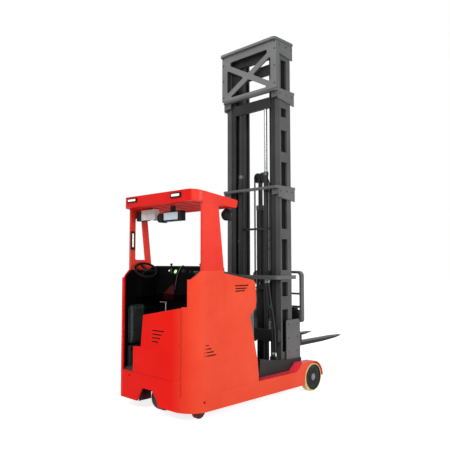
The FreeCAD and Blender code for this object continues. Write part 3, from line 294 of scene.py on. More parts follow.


# Lighter, more orange red of the sides: painted light; the darker red of the rear is painted shade
SIDE_LIT_SHADES = ((0.78, 0.070, 0.030), (0.83, 0.090, 0.042))
MATT = (0.45, 0.6)
MATERIALS = {
    # Darker red that paints shade on rear faces and undersides
    "red_painted_shade": paint("red_painted_shade", (0.76, 0.010, 0.007), (0.81, 0.015, 0.010), specular=0.1),
    "body_red_painted_light_and_shade": body_paint("body_red_painted_light_and_shade", ((0.90, 0.007, 0.003), (0.95, 0.011, 0.005)), SIDE_LIT_SHADES),
    # Lighter, pinker red for upward faces: painted light and sheen
    "leg_top_painted_light": paint("leg_top_painted_light", (0.92, 0.026, 0.042), (0.98, 0.040, 0.062), (0.2, 0.32)),
    # Lighter red of the lit sides: painted light
    "side_red_painted_light": paint("side_red_painted_light", *SIDE_LIT_SHADES, specular=0.2),
    "guard_red": paint("guard_red", (0.76, 0.034, 0.020), (0.82, 0.050, 0.030), (0.2, 0.3), specular=0.15),
    "mast_grey": paint("mast_grey", (0.016, 0.017, 0.017), (0.028, 0.029, 0.029), MATT, 500.0, 0.12, 0.2,
                       highlight_colour=grey(0.16)),
    # Lit and shaded copies of the mast paint: lighter for the light on the outer mast, darker for the shade
    # on the middle and inner masts
    "mast_painted_light": paint("mast_painted_light", grey(0.062), grey(0.088), MATT, 500.0, 0.12, 0.25, highlight_colour=grey(0.22)),
    "mast_painted_shade": paint("mast_painted_shade", grey(0.024), grey(0.040), MATT, 500.0, 0.12, 0.15, highlight_colour=grey(0.14)),
    "plate_grey": paint("plate_grey", (0.104, 0.105, 0.105), (0.134, 0.135, 0.136), MATT, 500.0, 0.1, 0.25),
    # Paler copy of the plate grey: painted light
    "plate_painted_light": paint("plate_painted_light", (0.190, 0.191, 0.191), (0.235, 0.236, 0.237), MATT, 500.0, 0.1, 0.25),
    "hood_grey": paint("hood_grey", (0.010, 0.014, 0.010), (0.020, 0.026, 0.020), MATT, 500.0, 0.1, 0.25),
    "caster_red": paint("caster_red", (0.11, 0.018, 0.014), (0.17, 0.028, 0.020), (0.5, 0.7), 300.0, 0.2,
                        0.25),
    # Black for seams, and painted shade in vents and in the mast's recesses
    "joint_black_and_painted_shade": plastic("joint_black_and_painted_shade", grey(0.006), (0.7, 0.85), 300.0, 0.2, 0.1),
    "black_trim": plastic("black_trim", grey(0.008), specular=0.2),
    "case_grey": plastic("case_grey", (0.045, 0.052, 0.050), (0.4, 0.6), specular=0.3),
    "cab_black": plastic("cab_black", grey(0.003), (0.7, 0.85), specular=0.03),
    # Floor mat rubber, its grey-brown lightened as painted light on the shaded cab floor
    "mat_rubber_painted_light": plastic("mat_rubber_painted_light", (0.12, 0.105, 0.095), (0.7, 0.85), 300.0, 0.5),
    "pad_vinyl": vinyl("pad_vinyl", (0.028, 0.042, 0.039)),
    "lamp_case": plastic("lamp_case", (0.78, 0.75, 0.72), (0.3, 0.45), 500.0, 0.05),
    "lamp_white": glowing("lamp_white", (0.9, 0.9, 0.86), (1.0, 0.98, 0.92), 0.45),
    # Pale blue, faintly glowing face of the cab mirror: painted reflection
    "mirror_painted_reflection": glowing("mirror_painted_reflection", (0.52, 0.64, 0.70), (0.7, 0.85, 0.95), 0.12),
    "lamp_green": glowing("lamp_green", (0.45, 0.85, 0.35), (0.5, 1.0, 0.35), 0.6),
    "glass_dark": plastic("glass_dark", (0.012, 0.014, 0.016), (0.06, 0.12), 200.0, 0.02, 0.5),
    "steel": metal("steel", (0.42, 0.42, 0.43), (0.32, 0.48)),
    # Dark steel, also used as painted shade on the free lift rod
    "dark_steel_and_painted_shade": metal("dark_steel_and_painted_shade", grey(0.11), (0.4, 0.55)),
    "chain_steel": metal("chain_steel", (0.05, 0.05, 0.052), (0.45, 0.6)),
    "chrome": metal("chrome", (0.34, 0.35, 0.36), (0.2, 0.32), (1, 1, 0.05), 700.0),
    # Dark red for a painted reflection on the dash and painted shade inside the drive wheel's arch
    "painted_reflection_and_shade_red": plastic("painted_reflection_and_shade_red", (0.085, 0.009, 0.013), (0.3, 0.45), specular=0.2),
    "tyre_amber": plastic("tyre_amber", (1.0, 0.74, 0.26), (0.25, 0.4), 200.0, 0.1),
    "tyre_dark": plastic("tyre_dark", grey(0.022), (0.6, 0.8), 160.0, 0.4),
    "hub_grey": paint("hub_grey", (0.17, 0.17, 0.175), (0.23, 0.23, 0.235), (0.4, 0.55), 300.0, 0.1),
    "rim_black": paint("rim_black", (0.009, 0.009, 0.010), (0.016, 0.016, 0.017), (0.4, 0.55), 300.0, 0.1,
                       0.2),
    "wheel_rim": plastic("wheel_rim", grey(0.005), (0.5, 0.7), specular=0.08),
    # Dark iron, also used as painted shade on the left lift rod
    "iron_and_painted_shade": paint("iron_and_painted_shade", (0.018, 0.018, 0.019), (0.03, 0.03, 0.031), (0.5, 0.65), 400.0, 0.2),
    "hose": plastic("hose", (0.02, 0.02, 0.022), (0.4, 0.55), 500.0, 0.2),
    "fork_black": paint("fork_black", (0.007, 0.007, 0.008), (0.014, 0.014, 0.015), (0.35, 0.5), 400.0,
                        0.15, 0.15, highlight_colour=grey(0.16)),
}

# Nodes that keep one material all over
NODE_LOOK = {
    "body_red_painted_light_and_shade": ["rear_cover", "rear_skirt", "side_panel_right", "side_panel_left",
                 "outrigger_left", "outrigger_right"],
    "guard_red": ["guard_roof", "pillar_right", "pillar_left"],
    "mast_grey": ["lift_barrels", "free_lift_barrel", "free_lift_head", "mast_cross_beam", "fork_frame",
                  "reach_barrel", "chassis_frame", "reach_frame"],
    "mast_painted_light": ["outer_mast"],
    "mast_painted_shade": ["middle_mast", "inner_mast"],
    "plate_grey": ["mast_bands", "mast_head", "carriage_frame", "load_backrest"],
    "hood_grey": ["battery_hood"],
    "cab_black": ["cab_liner", "machine_room", "console", "steering_column"],
    "black_trim": ["hand_levers", "cab_mirror", "work_lamp", "guard_lamps"],
    "mat_rubber_painted_light": ["cab_floor"],
    "lamp_case": ["cab_lamp"],
    "steel": ["load_axle_left", "load_axle_right"],
    "chrome": ["reach_rod", "lift_rods"],
    # Free lift rod, chrome, in dark steel colour: painted shade
    "dark_steel_and_painted_shade": ["free_lift_rod"],
    "rim_black": ["load_wheel_left", "load_wheel_right"],
    "wheel_rim": ["steering_wheel"],
    "tyre_dark": ["drive_wheel"],
    "caster_red": ["caster_wheel"],
    "iron_and_painted_shade": ["battery", "drive_unit", "caster_fork"],
    "fork_black": ["fork_left", "fork_right"],
}


def wheel_distance(point):
    """Distance of a point from the axle of the load wheels."""
    return math.hypot(point.x - WHEEL_X, point.z - WHEEL_Z)


# Faces that differ from the rest of their node: (nodes, material, test of the face's middle and normal)
LOAD_WHEELS = ("load_wheel_left", "load_wheel_right")
FACE_LOOK = [
    (LOAD_WHEELS, "tyre_amber", lambda c, n: wheel_distance(c) > TREAD_INSIDE),
    (LOAD_WHEELS, "hub_grey", lambda c, n: wheel_distance(c) < HUB_CAP_RADIUS),
    # Tops of the legs in the lighter, pinker red: painted light
    (("outrigger_left", "outrigger_right"), "leg_top_painted_light", lambda c, n: n.z > 0.5),
    # Rear face of the mast head in the paler grey: painted light
    (("mast_head",), "plate_painted_light", lambda c, n: n.x < -0.9),
    (("battery_hood",), "plate_grey", lambda c, n: n.y < -0.9 and c.z < HOOD_CHEEK_TOP),
    # Right face of the inner mast's web in the lighter copy: painted light
    (("inner_mast",), "mast_painted_light", lambda c, n: n.y < -0.9 and abs(c.y - INNER_WEB_FACE) < 1),
    # Left lift rod in dark iron colour instead of chrome: painted shade
    (("lift_rods",), "iron_and_painted_shade", lambda c, n: c.y > 0),
    # Underside, rear face and ribs of the roof, in a darker red that paints their shade
    (("guard_roof",), "red_painted_shade",
     lambda c, n: n.z < -0.3 or n.x < -0.9 or (abs(c.y) < 540 and 100 < c.x < 600)),
    # Webs inside the outer mast's windows in black: painted shade in the recess
    (("outer_mast",), "joint_black_and_painted_shade", lambda c, n: abs(n.y) > 0.9 and abs(abs(c.y) - OUTER_WEB_FACE) < 2),
    (("reach_frame",), "plate_grey", lambda c, n: c.z > GUSSET_FOOT),
    # Bracket beside the pale lamp and its hanger
    (("cab_lamp",), "black_trim", lambda c, n: c.y > 454 or c.z > 2112),
    (("drive_wheel",), "hub_grey",
     lambda c, n: math.hypot(c.x - DRIVE_X, c.z - DRIVE_Z) < DRIVE_HUB_RADIUS),
]


def dress(node, material):
    """Give a node one material."""
    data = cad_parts[node].data
    data.materials.clear()
    data.materials.append(material)


def dress_faces(node, material, test):
    """Give a second material to the faces that the test picks, by places in millimetres."""
    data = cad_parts[node].data
    data.materials.append(material)
    number = len(data.materials) - 1
    for face in data.polygons:
        middle = face.center * 1000
        if test(Vector((middle.x + ORIGIN_X, middle.y, middle.z)), face.normal):
            face.material_index = number


for look, names in NODE_LOOK.items():
    for name in names:
        dress(name, MATERIALS[look])
for nodes, look, test in FACE_LOOK:
    for node in nodes:
        dress_faces(node, MATERIALS[look], test)


# Meshes

SHARP_DEGREES = 35


class Shape:
    """A mesh put together from parts in millimetres, each with its own material."""

    def __init__(self, name):
        self.name = name
        self.mesh = bmesh.new()
        self.looks = []

    def paint_faces(self, faces, look):
        """Give faces a material by name."""
        if look not in self.looks:
            self.looks.append(look)
        for face in faces:
            face.material_index = self.looks.index(look)

    def block(self, low, high, look, radius=2.0, steps=2):
        """Block between two corners with rounded edges."""
        size = [b - a for a, b in zip(low, high)]
        middle = [(a + b) / 2 for a, b in zip(low, high)]
        corners = bmesh.ops.create_cube(self.mesh, size=1.0)["verts"]
        for vert in corners:
            vert.co = Vector([m + c * s for m, c, s in zip(middle, vert.co, size)])
        radius = min([radius] + [s * 0.45 for s in size])
        edges = list({edge for vert in corners for edge in vert.link_edges})
        result = bmesh.ops.bevel(self.mesh, geom=edges, offset=radius, segments=steps, profile=0.5,
                                 affect="EDGES")
        faces = {face for vert in result["verts"] for face in vert.link_faces}
        self.paint_faces(faces, look)

    def turned(self, rows, start, axis, look, steps=20):
        """Solid of revolution from (radius, distance along the axis) rows, closed at both ends."""
        axis = Vector(axis).normalized()
        side = axis.orthogonal().normalized()
        other = axis.cross(side)
        rings = []
        for radius, along in rows:
            centre = Vector(start) + axis * along
            ring = []
            for i in range(steps):
                turn = 2 * math.pi * i / steps
                offset = side * math.cos(turn) + other * math.sin(turn)
                ring.append(self.mesh.verts.new(centre + offset * radius))
            rings.append(ring)
        self.skin(rings, look)

    def skin(self, rings, look):
        """Close rings of as many points each into a solid."""
        faces = [self.mesh.faces.new(list(reversed(rings[0]))), self.mesh.faces.new(rings[-1])]
        for low, high in zip(rings, rings[1:]):
            for i in range(len(low)):
                j = (i + 1) % len(low)
                faces.append(self.mesh.faces.new([low[i], low[j], high[j], high[i]]))
        self.paint_faces(faces, look)

    def bolt(self, place, axis, look, size=8.0, height=6.0):
        """Hexagon head with a chamfer on a washer."""
        self.turned([(size * 1.25, 0), (size * 1.25, height * 0.25)], place, axis, look, 16)
        base = Vector(place) + Vector(axis).normalized() * height * 0.25
        self.turned([(size, 0), (size, height * 0.6), (size * 0.86, height * 0.75)], base, axis, look, 6)

    def pipe(self, points, radius, look, steps=8):
        """Round bar along points."""
        points = [Vector(p) for p in points]
        rings = []
        side = (points[1] - points[0]).orthogonal().normalized()
        for i, point in enumerate(points):
            along = (points[min(i + 1, len(points) - 1)] - points[max(i - 1, 0)]).normalized()
            side = (side - along * side.dot(along)).normalized()
            other = along.cross(side)
            rings.append([self.mesh.verts.new(point + (side * math.cos(a) + other * math.sin(a)) * radius)
                          for a in (2 * math.pi * k / steps for k in range(steps))])
        self.skin(rings, look)

    def prism(self, outline, depth, look):
        """Flat plate from an outline of points, pushed along a vector."""
        depth = Vector(depth)
        near = [self.mesh.verts.new(Vector(p)) for p in outline]
        far = [self.mesh.verts.new(Vector(p) + depth) for p in outline]
        faces = [self.mesh.faces.new(list(reversed(near))), self.mesh.faces.new(far)]
        for i in range(len(near)):
            j = (i + 1) % len(near)
            faces.append(self.mesh.faces.new([near[i], near[j], far[j], far[i]]))
        self.paint_faces(faces, look)

    def made(self):
        """The object, in metres in the truck's frame."""
        bmesh.ops.recalc_face_normals(self.mesh, faces=self.mesh.faces)
        for vert in self.mesh.verts:
            vert.co = mm(*vert.co)
        data = bpy.data.meshes.new(self.name)
        self.mesh.to_mesh(data)
        self.mesh.free()
        for look in self.looks:
            data.materials.append(MATERIALS[look])
        data.shade_smooth()
        data.set_sharp_from_angle(angle=math.radians(SHARP_DEGREES))
        obj = bpy.data.objects.new(self.name, data)
        bpy.context.scene.collection.objects.link(obj)
        return obj

    def ride(self, body, slot):
        """Finish the object and let it ride on a body."""
        obj = self.made()
        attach(obj, body)
        return obj


# Camera and hoses

def make_camera():
    """Camera fitted to the photograph's view."""
    data = bpy.data.cameras.new("camera")
    data.sensor_width = 36.0
    data.lens = CAMERA_FOCAL_PX / PHOTO_SIDE_PX * data.sensor_width
    data.clip_end = 200
    camera = bpy.data.objects.new("camera", data)
    yaw = math.radians(CAMERA_YAW)
    pitch = math.radians(CAMERA_PITCH)
    ahead = Vector((math.cos(yaw) * math.cos(pitch), math.sin(yaw) * math.cos(pitch), math.sin(pitch)))
    camera.location = CAMERA_PLACE
    camera.rotation_euler = ahead.to_track_quat("-Z", "Y").to_euler()
    bpy.context.scene.collection.objects.link(camera)
    bpy.context.scene.camera = camera


# Route of the first hose; the second one hangs beside it
HOSE_ROUTE = [(1526, -296, 1329.7), (1526, -296, 1280), (1506, -330, 1170), (1492, -372, 990),
              (1498, -408, 800), (1502, -414, 620), (1502, -414, 440.3)]
HOSE_SHIFTS = (0, 36)
HOSE_RADIUS = 11.0
# Fitting at a hose's end: (radius, distance from the end) rows
SLEEVE = [(12.0, 0), (12.0, 6), (14.5, 8), (14.5, 40), (12.5, 44), (12.0, 46)]
NUT = [(17, 4), (18, 6), (18, 18), (17, 20)]


def route_mm(shift):
    """Route of a hose in millimetres."""
    return [Vector((x, y + shift, z)) for x, y, z in HOSE_ROUTE]


def make_hose(name, shift):
    """Hydraulic hose from the lowest band down to the valve block, with a fitting at each end."""
    curve = bpy.data.curves.new(name, "CURVE")
    curve.dimensions = "3D"
    curve.bevel_depth = HOSE_RADIUS / 1000
    curve.bevel_resolution = 5
    curve.resolution_u = 12
    curve.use_fill_caps = True
    spline = curve.splines.new("NURBS")
    route = [mm(*place) for place in route_mm(shift)]
    spline.points.add(len(route) - 1)
    for point, place in zip(spline.points, route):
        point.co = (*place, 1)
    spline.order_u = 3
    spline.use_endpoint_u = True
    curve.materials.append(MATERIALS["hose"])
    hose = bpy.data.objects.new(name, curve)
    bpy.context.scene.collection.objects.link(hose)
    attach(hose, "reach_carriage")
    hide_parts("mast_hoses")
    fitting = Shape(name + "_fittings")
    for end, axis in ((route_mm(shift)[-1], UPWARD), (route_mm(shift)[0], -UPWARD)):
        fitting.turned(SLEEVE, end, axis, "steel", 18)
        fitting.turned(NUT, end, axis, "steel", 6)
    ends = fitting.ride("reach_carriage", "steel")


make_camera()
for number, shift in enumerate(HOSE_SHIFTS, 1):
    make_hose(f"mast_hose_{number}", shift)


# Hip cushion

def rounded_outline(x0, x1, z0, z1, radius, steps=6):
    """Points (x, z) round a rectangle with round corners."""
    points = []
    for cx, cz, first in ((x1 - radius, z1 - radius, 0), (x0 + radius, z1 - radius, 90),
                          (x0 + radius, z0 + radius, 180), (x1 - radius, z0 + radius, 270)):
        for i in range(steps + 1):
            turn = math.radians(first + 90 * i / steps)
            points.append((cx + radius * math.cos(turn), cz + radius * math.sin(turn)))
    return points


PAD_X = (106, 324)
PAD_Z = (628, 1064)
PAD_CORNER = 46
PAD_BACK = 549.5
PAD_FRONT = 489.0
PAD_DEPTH = 54
# Heights that the filled cushion may reach
PAD_REACH_Z = (621.5, 1071.5)
# Height of each sewn line
SEWN_LINES = (775.0, 920.0)
SEAM_HALF_WIDTH = 9.0
SEAM_DEPTH = 4.5
STITCHES = 26
STITCH_PITCH = 7.6
# Grid in metres of the mesh that is filled, and cloth settings
PAD_GRID = 0.006
PAD_PRESSURE = 4.0
PAD_STIFFNESS = 18.0


def crowned_pad():
    """Closed cushion shape: a flat back on the wall and a crowned front with round shoulders."""
    shape = Shape("hip_cushion")
    # Inset from the outline and depth from the wall for each ring, from the back to the front
    rows = [(10, 0), (4, 6), (0, 18), (0, 34), (5, 44), (14, 50), (30, 53), (60, PAD_DEPTH)]
    rings = []
    for inset, depth in rows:
        outline = rounded_outline(PAD_X[0] + inset, PAD_X[1] - inset, PAD_Z[0] + inset, PAD_Z[1] - inset,
                                  max(8, PAD_CORNER - inset))
        rings.append([shape.mesh.verts.new(Vector((x, PAD_BACK - depth, z))) for x, z in outline])
    count = len(rings[0])
    faces = [shape.mesh.faces.new(rings[0]), shape.mesh.faces.new(list(reversed(rings[-1])))]
    for low, high in zip(rings, rings[1:]):
        for i in range(count):
            j = (i + 1) % count
            faces.append(shape.mesh.faces.new([low[i], high[i], high[j], low[j]]))
    shape.paint_faces(faces, "pad_vinyl")
    return shape.made()


def apply_modifiers(obj):
    """Write an object's modifiers into its mesh."""
    shown = bpy.context.evaluated_depsgraph_get()
    data = bpy.data.meshes.new_from_object(obj.evaluated_get(shown))
    obj.modifiers.clear()
    obj.data = data


def puff(obj, frames=20, reach=0.010):
    """Fill the cushion by a cloth simulation; its back stays on the wall."""
    remesh = obj.modifiers.new("remesh", "REMESH")
    remesh.mode = "VOXEL"
    remesh.voxel_size = PAD_GRID
    apply_modifiers(obj)
    start = [vert.co.copy() for vert in obj.data.vertices]
    back = obj.vertex_groups.new(name="back")
    back.add([v.index for v in obj.data.vertices if v.co.y > (PAD_BACK - 7) / 1000], 1.0, "ADD")
    cloth = obj.modifiers.new("cloth", "CLOTH")
    cloth.settings.use_pressure = True
    cloth.settings.uniform_pressure_force = PAD_PRESSURE
    cloth.settings.effector_weights.gravity = 0.0
    cloth.settings.vertex_group_mass = "back"
    cloth.settings.tension_stiffness = PAD_STIFFNESS
    cloth.point_cache.frame_end = frames
    for number in range(1, frames + 1):
        bpy.context.scene.frame_set(number)
    apply_modifiers(obj)
    bpy.context.scene.frame_set(1)
    for vert, place in zip(obj.data.vertices, start):
        step = vert.co - place
        if step.length > reach:
            vert.co = place + step.normalized() * reach
        vert.co.y = min(max(vert.co.y, PAD_FRONT / 1000), PAD_BACK / 1000)
        vert.co.z = min(max(vert.co.z, PAD_REACH_Z[0] / 1000), PAD_REACH_Z[1] / 1000)
    smooth = obj.modifiers.new("smooth", "SMOOTH")
    smooth.factor = 0.5
    smooth.iterations = 4
    finer = obj.modifiers.new("finer", "SUBSURF")
    finer.levels = 1
    finer.render_levels = 1
    apply_modifiers(obj)
    obj.data.shade_smooth()


def sew_channels(obj):
    """Two sewn lines across the front of the cushion."""
    for vert in obj.data.vertices:
        z = vert.co.z * 1000
        front = (PAD_BACK / 1000 - vert.co.y) / (PAD_DEPTH / 1000)
        for line in SEWN_LINES:
            near = abs(z - line) / SEAM_HALF_WIDTH
            if near < 1 and front > 0.5:
                vert.co.y += SEAM_DEPTH / 1000 * (1 - near) ** 2 * min(1.0, (front - 0.5) * 3)


cushion = crowned_pad()
puff(cushion)
sew_channels(cushion)
cushion.data.materials.clear()
cushion.data.materials.append(MATERIALS["pad_vinyl"])
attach(cushion, "truck")
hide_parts("hip_pad")

trim = Shape("hip_pad_trim")
piping = [(x, 500.0, z) for x, z in rounded_outline(PAD_X[0] - 1.5, PAD_X[1] + 1.5, PAD_Z[0] - 1.5,
                                                     PAD_Z[1] + 1.5, PAD_CORNER)]
trim.pipe(piping + piping[:1], 2.6, "black_trim", 8)
for line in SEWN_LINES:
    for i in range(STITCHES):
        x = 122 + i * STITCH_PITCH
        trim.pipe([(x, 496.6, line), (x + 4.6, 496.6, line)], 0.7, "black_trim", 5)
trim.ride("truck", "pad_fabric")

box_under = Shape("hip_pad_box")
box_under.block((110, 506, 397), (240, 549.5, 619), "case_grey", 7, 3)
box_under.block((122, 504.6, 560), (228, 507, 606), "black_trim", 1.2)
for x in (122, 228):
    for z in (412, 545):
        box_under.bolt((x, 506, z), RIGHTWARD, "dark_steel_and_painted_shade", 5, 4)
box_under.ride("truck", "trim_plastic")


# Lamps

LENS_RIDGES = 12
lamps = Shape("lamp_lenses_and_mirror_reflection")
# Rear lamps: least and greatest Y, lower and upper edge of each lens, then of each frame
for y0, y1, z0, z1 in ((334, 468, 2197, 2218), (-394, -273, 2190, 2214)):
    lamps.block((36.6, y0, z0), (39.5, y1, z1), "lamp_white", 1.2)
    for i in range(LENS_RIDGES):
        y = y0 + (y1 - y0) * (i + 0.5) / LENS_RIDGES
        lamps.pipe([(36.4, y, z0 + 3), (36.4, y, z1 - 3)], 1.4, "lamp_white", 6)
for y0, y1, z0, z1 in ((319, 485, 2186, 2229), (-409, -256, 2178, 2227)):
    corners = [(y0 + 3, z0 + 3), (y1 - 3, z0 + 3), (y1 - 3, z1 - 3), (y0 + 3, z1 - 3), (y0 + 3, z0 + 3)]
    lamps.pipe([(37.5, y, z) for y, z in corners], 2.6, "black_trim", 8)
# Strip lamp on the left pillar
lamps.block((170, 560.6, 1702), (190, 563, 1856), "lamp_white", 1.2)
for z in range(1712, 1850, 12):
    lamps.pipe([(172, 560.4, z), (188, 560.4, z)], 0.9, "lamp_white", 6)
# Pale box lamp: frame, lens and feet
lamps.block((202.6, 216, 2008), (206, 444, 2100), "lamp_case", 1.5)
for z in (2022, 2054, 2086):
    lamps.block((201.6, 226, z - 9), (203.4, 434, z + 9), "lamp_case", 0.8)
for y in (240, 420):
    lamps.block((222, y - 12, 1990), (258, y + 12, 2000), "black_trim", 2)
lamps.pipe([(240, 500, 1998), (240, 470, 1988), (240, 400, 1990), (240, 330, 1996)], 5, "hose", 8)
# Black mirror whose pale blue face glows a little: a painted reflection
lamps.block((201.5, -190, 1972), (206, 48, 2062), "black_trim", 1.5)
lamps.block((199.5, -184, 1978), (202.5, 42, 2056), "mirror_painted_reflection", 1.4)
for y in range(-168, 40, 17):
    lamps.block((198.8, y - 6.5, 1982), (199.8, y + 6.5, 2052), "mirror_painted_reflection", 0.4)
# Horn: radius and distance towards the rear
lamps.turned([(50, 0), (50, 4), (46, 6), (43, 3), (34, 3), (31, 6), (28, 3), (18, 3), (16, 7), (2, 9)],
             (195, 98, 2005), BACKWARD, "black_trim", 28)
lamps.ride("truck", "lamp_case")

# Round work lamp: rim, lens, cooling ribs and a bolt at each side
LAMP_Y, LAMP_Z = -480, 2032
LAMP_RIBS = 10
bowl = Shape("work_lamp_lens")
lamp_front = (668, LAMP_Y, LAMP_Z)
bowl.turned([(61, 0), (63, 2), (63, 6), (57, 8), (55, 5)], lamp_front, FORWARD, "black_trim", 32)
bowl.turned([(55, 0), (54, 3), (38, 7), (16, 9.5), (2, 10)], lamp_front, FORWARD, "lamp_white", 32)
for i in range(LAMP_RIBS):
    turn = 2 * math.pi * i / LAMP_RIBS
    out = Vector((0, math.cos(turn), math.sin(turn)))
    foot = Vector((588, LAMP_Y, LAMP_Z)) + out * 40
    bowl.pipe([foot, Vector((606, LAMP_Y, LAMP_Z)) + out * 60], 3.5, "black_trim", 6)
for side in SIDES:
    bowl.bolt((628, LAMP_Y + side * 62, LAMP_Z), (0, side, 0), "dark_steel_and_painted_shade", 8, 8)
bowl.ride("truck", "lamp_case")


# Vents, seams and small fittings of the body

def rear_surface(y):
    """X of the outside of the body's rear, its round right corner included, at a given Y."""
    reach = min(0.0, y + HALF_WIDTH - CORNER_RIGHT)
    return CORNER_RIGHT - math.sqrt(CORNER_RIGHT ** 2 - reach ** 2)


def vent(shape, low, high):
    """Black slot between two corners that stands for an opening in a panel; its black is painted shade for
    the dark inside.
    """
    shape.block(low, high, "joint_black_and_painted_shade", 0.3)


VENT_HALF = 5.6
fittings = Shape("body_vents")
# Vents in the rear cover, which end at one Y: least Y and height
REAR_VENT_END = -32
for y0, z in ((-224, 845), (-190, 808), (-160, 771), (-131, 734)):
    fittings.block((8.6, y0 + 0.5, z - VENT_HALF), (10.9, REAR_VENT_END - 0.5, z + VENT_HALF),
                   "joint_black_and_painted_shade", 0.4)
    vent(fittings, (2.5, y0 + 1, z - 1.2), (10.5, REAR_VENT_END - 1, z + 0.8))
    for i in range(1, 4):
        y = y0 + (REAR_VENT_END - y0) * i / 4
        vent(fittings, (3, y - 1.5, z - VENT_HALF), (10.5, y + 1.5, z + VENT_HALF))
# High vents in the right side: rear end, front end and height
for x0, x1, z in ((618, 825, 1290), (625, 800, 1262), (625, 770, 1236)):
    vent(fittings, (x0 + 0.5, -599.8, z - VENT_HALF), (x1 - 0.5, -598.1, z + VENT_HALF))
    vent(fittings, (x0 + 1, -604, z - 1.2), (x1 - 1, -598.4, z + 0.8))
    for i in range(1, 4):
        x = x0 + (x1 - x0) * i / 4
        vent(fittings, (x - 1.5, -603.5, z - VENT_HALF), (x + 1.5, -598.4, z + VENT_HALF))
# Low vents in the right side, from the end of the round corner: front end and height
for x1, z in ((243, 727), (281, 694), (313, 661), (345, 628)):
    vent(fittings, (232, -599.6, z - VENT_HALF), (x1 - 0.5, -598.1, z + VENT_HALF))
fittings.ride("truck", "trim_plastic")

seams = Shape("body_seams")
seams.block((0, -372, SKIRT_TOP - 1.4), (1, 289, SKIRT_TOP + 1.4), "joint_black_and_painted_shade", 0.2)
round_corner = [(rear_surface(y) + 1.6, y, SKIRT_TOP) for y in (-372, -395, -410, -425, -440, -452, -463)]
upright = [(rear_surface(-463) + 0.2, -463, z) for z in (250, 320, 385, 560, 740, 920, 1090)]
for line in (round_corner, upright):
    seams.pipe(line, 1.5, "joint_black_and_painted_shade", 6)
# Bolts on the round corner in the darker red of the painted rear shade
for z in (420, 735, 1050):
    seams.bolt((rear_surface(-445) + 0.2, -445, z), (-0.95, -0.3, 0), "red_painted_shade", 6, 4)
# Bolts on the side panels in the lighter side red: painted light
for x, z in ((500, 1240), (905, 1240), (905, 540), (500, 540)):
    for side in SIDES:
        seams.bolt((x, side * PANEL_OUTSIDE, z), (0, side, 0), "side_red_painted_light", 6, 3)
seams.ride("truck", "trim_plastic")

mat = Shape("floor_mat_ribs")
for y in range(186, 523, 21):
    mat.block((68, y, 394), (524, y + 9, 398.6), "mat_rubber_painted_light", 1.8)
mat.ride("truck", "trim_plastic")

dash = Shape("dash_fittings")
slope = Vector((-0.93, 0, 0.36))
# Slanted rear of the dash: a green lamp in its frame, a white one, a stop button and a key
green_lamp, stop_button = (411, 90, 1430), (411, -60, 1430)
dash.turned([(30, -6), (30, 3), (27, 5), (24, 3)], green_lamp, slope, "hood_grey", 28)
dash.turned([(22, -4), (21, 5), (14, 9), (2, 10)], green_lamp, slope, "lamp_green", 28)
dash.turned([(10, -4), (10, 3), (8, 5), (2, 6)], (416, 205, 1440), slope, "lamp_white", 18)
dash.turned([(20, -4), (20, 4), (17, 6)], stop_button, slope, "black_trim", 20)
dash.turned([(9, 6), (9, 14), (19, 16), (20, 24), (15, 30), (2, 32)], stop_button, slope, "black_trim", 20)
dash.turned([(13, -4), (13, 3), (11, 5)], (411, -150, 1430), slope, "black_trim", 18)
# Displays and a row of keys
dash.block((404, 150, 1404), (418, 184, 1462), "glass_dark", 2)
dash.block((398, -330, 1404), (414, -210, 1440), "glass_dark", 3)
for y in range(-322, -229, 23):
    dash.block((394, y, 1412), (402, y + 16, 1430), "black_trim", 3)
# Bent bar with its grip, the rear edge of the top and two knobs
dash.pipe([(466, 13, 1488), (452, 13, 1500), (428, 20, 1486), (396, 45, 1404), (398, 66, 1330),
           (404, 90, 1262)], 4, "dark_steel_and_painted_shade", 8)
dash.turned([(6, 0), (10, 8), (10, 26), (6, 34)], (404, 90, 1230), UPWARD, "black_trim", 14)
dash.pipe([(455, -440, 1489), (455, -300, 1489.5), (455, -100, 1489.5), (455, 100, 1489.5),
           (455, 500, 1489)], 3, "black_trim", 8)
for y in (240, -240):
    dash.turned([(12, 0), (14, 4), (14, 12), (10, 19), (2, 21)], (475, y, 1500), UPWARD, "black_trim", 18)
dash.ride("truck", "trim_plastic")

dash_reflection = Shape("dash_painted_reflection")
# Dark red plates on two slopes of the dash, left of its middle: a painted reflection of red
for outline in ([(428.2, 312, 1184), (428.2, 132, 1184), (413.4, 132, 1293), (418, 200, 1259)],
                [(430.8, 315, 1178), (430.8, 132, 1178), (528, 261, 1111), (528, 460, 1111)]):
    dash_reflection.prism(outline, (-2.0, 0, -0.6), "painted_reflection_and_shade_red")
dash_reflection.ride("truck", "trim_plastic")

handle = Shape("release_handle")
handle.pipe([(40, -199, 1003), (40, -199, 1134)], 4, "steel", 10)
handle.turned([(4, 0), (6.5, 3), (6.5, 106), (4, 109)], (40, -107, 1133), RIGHTWARD, "dark_steel_and_painted_shade", 14)
handle.turned([(12, 0), (12, 6), (7, 14), (5, 24)], (40, -199, 1008), UPWARD, "steel", 18)
handle.ride("truck", "steel")

latch = Shape("hood_latch")
latch.block((938, -602, 1266), (962, -578, 1304), "lamp_case", 8, 3)
latch.block((940, -600, 1238), (958, -582, 1262), "lamp_case", 7, 3)
latch.pipe([(930, -590, 1285), (946, -590, 1285), (950, -590, 1250), (932, -590, 1248)], 4, "steel", 8)
latch.ride("truck", "steel")

# Wall inside the drive wheel's arch in dark red: painted shade
arch_wall = Shape("drive_arch_wall_painted_shade")
arch_wall.block((22, 205, 96), (178, 208, 345), "painted_reflection_and_shade_red", 1.0)
arch_wall.block((22, 197, 96), (34, 206, 345), "painted_reflection_and_shade_red", 1.5)
arch_wall.pipe([(178, 206.5, 97), (178, 206.5, 344)], 4, "painted_reflection_and_shade_red", 8)
arch_wall.ride("truck", "frame_paint")

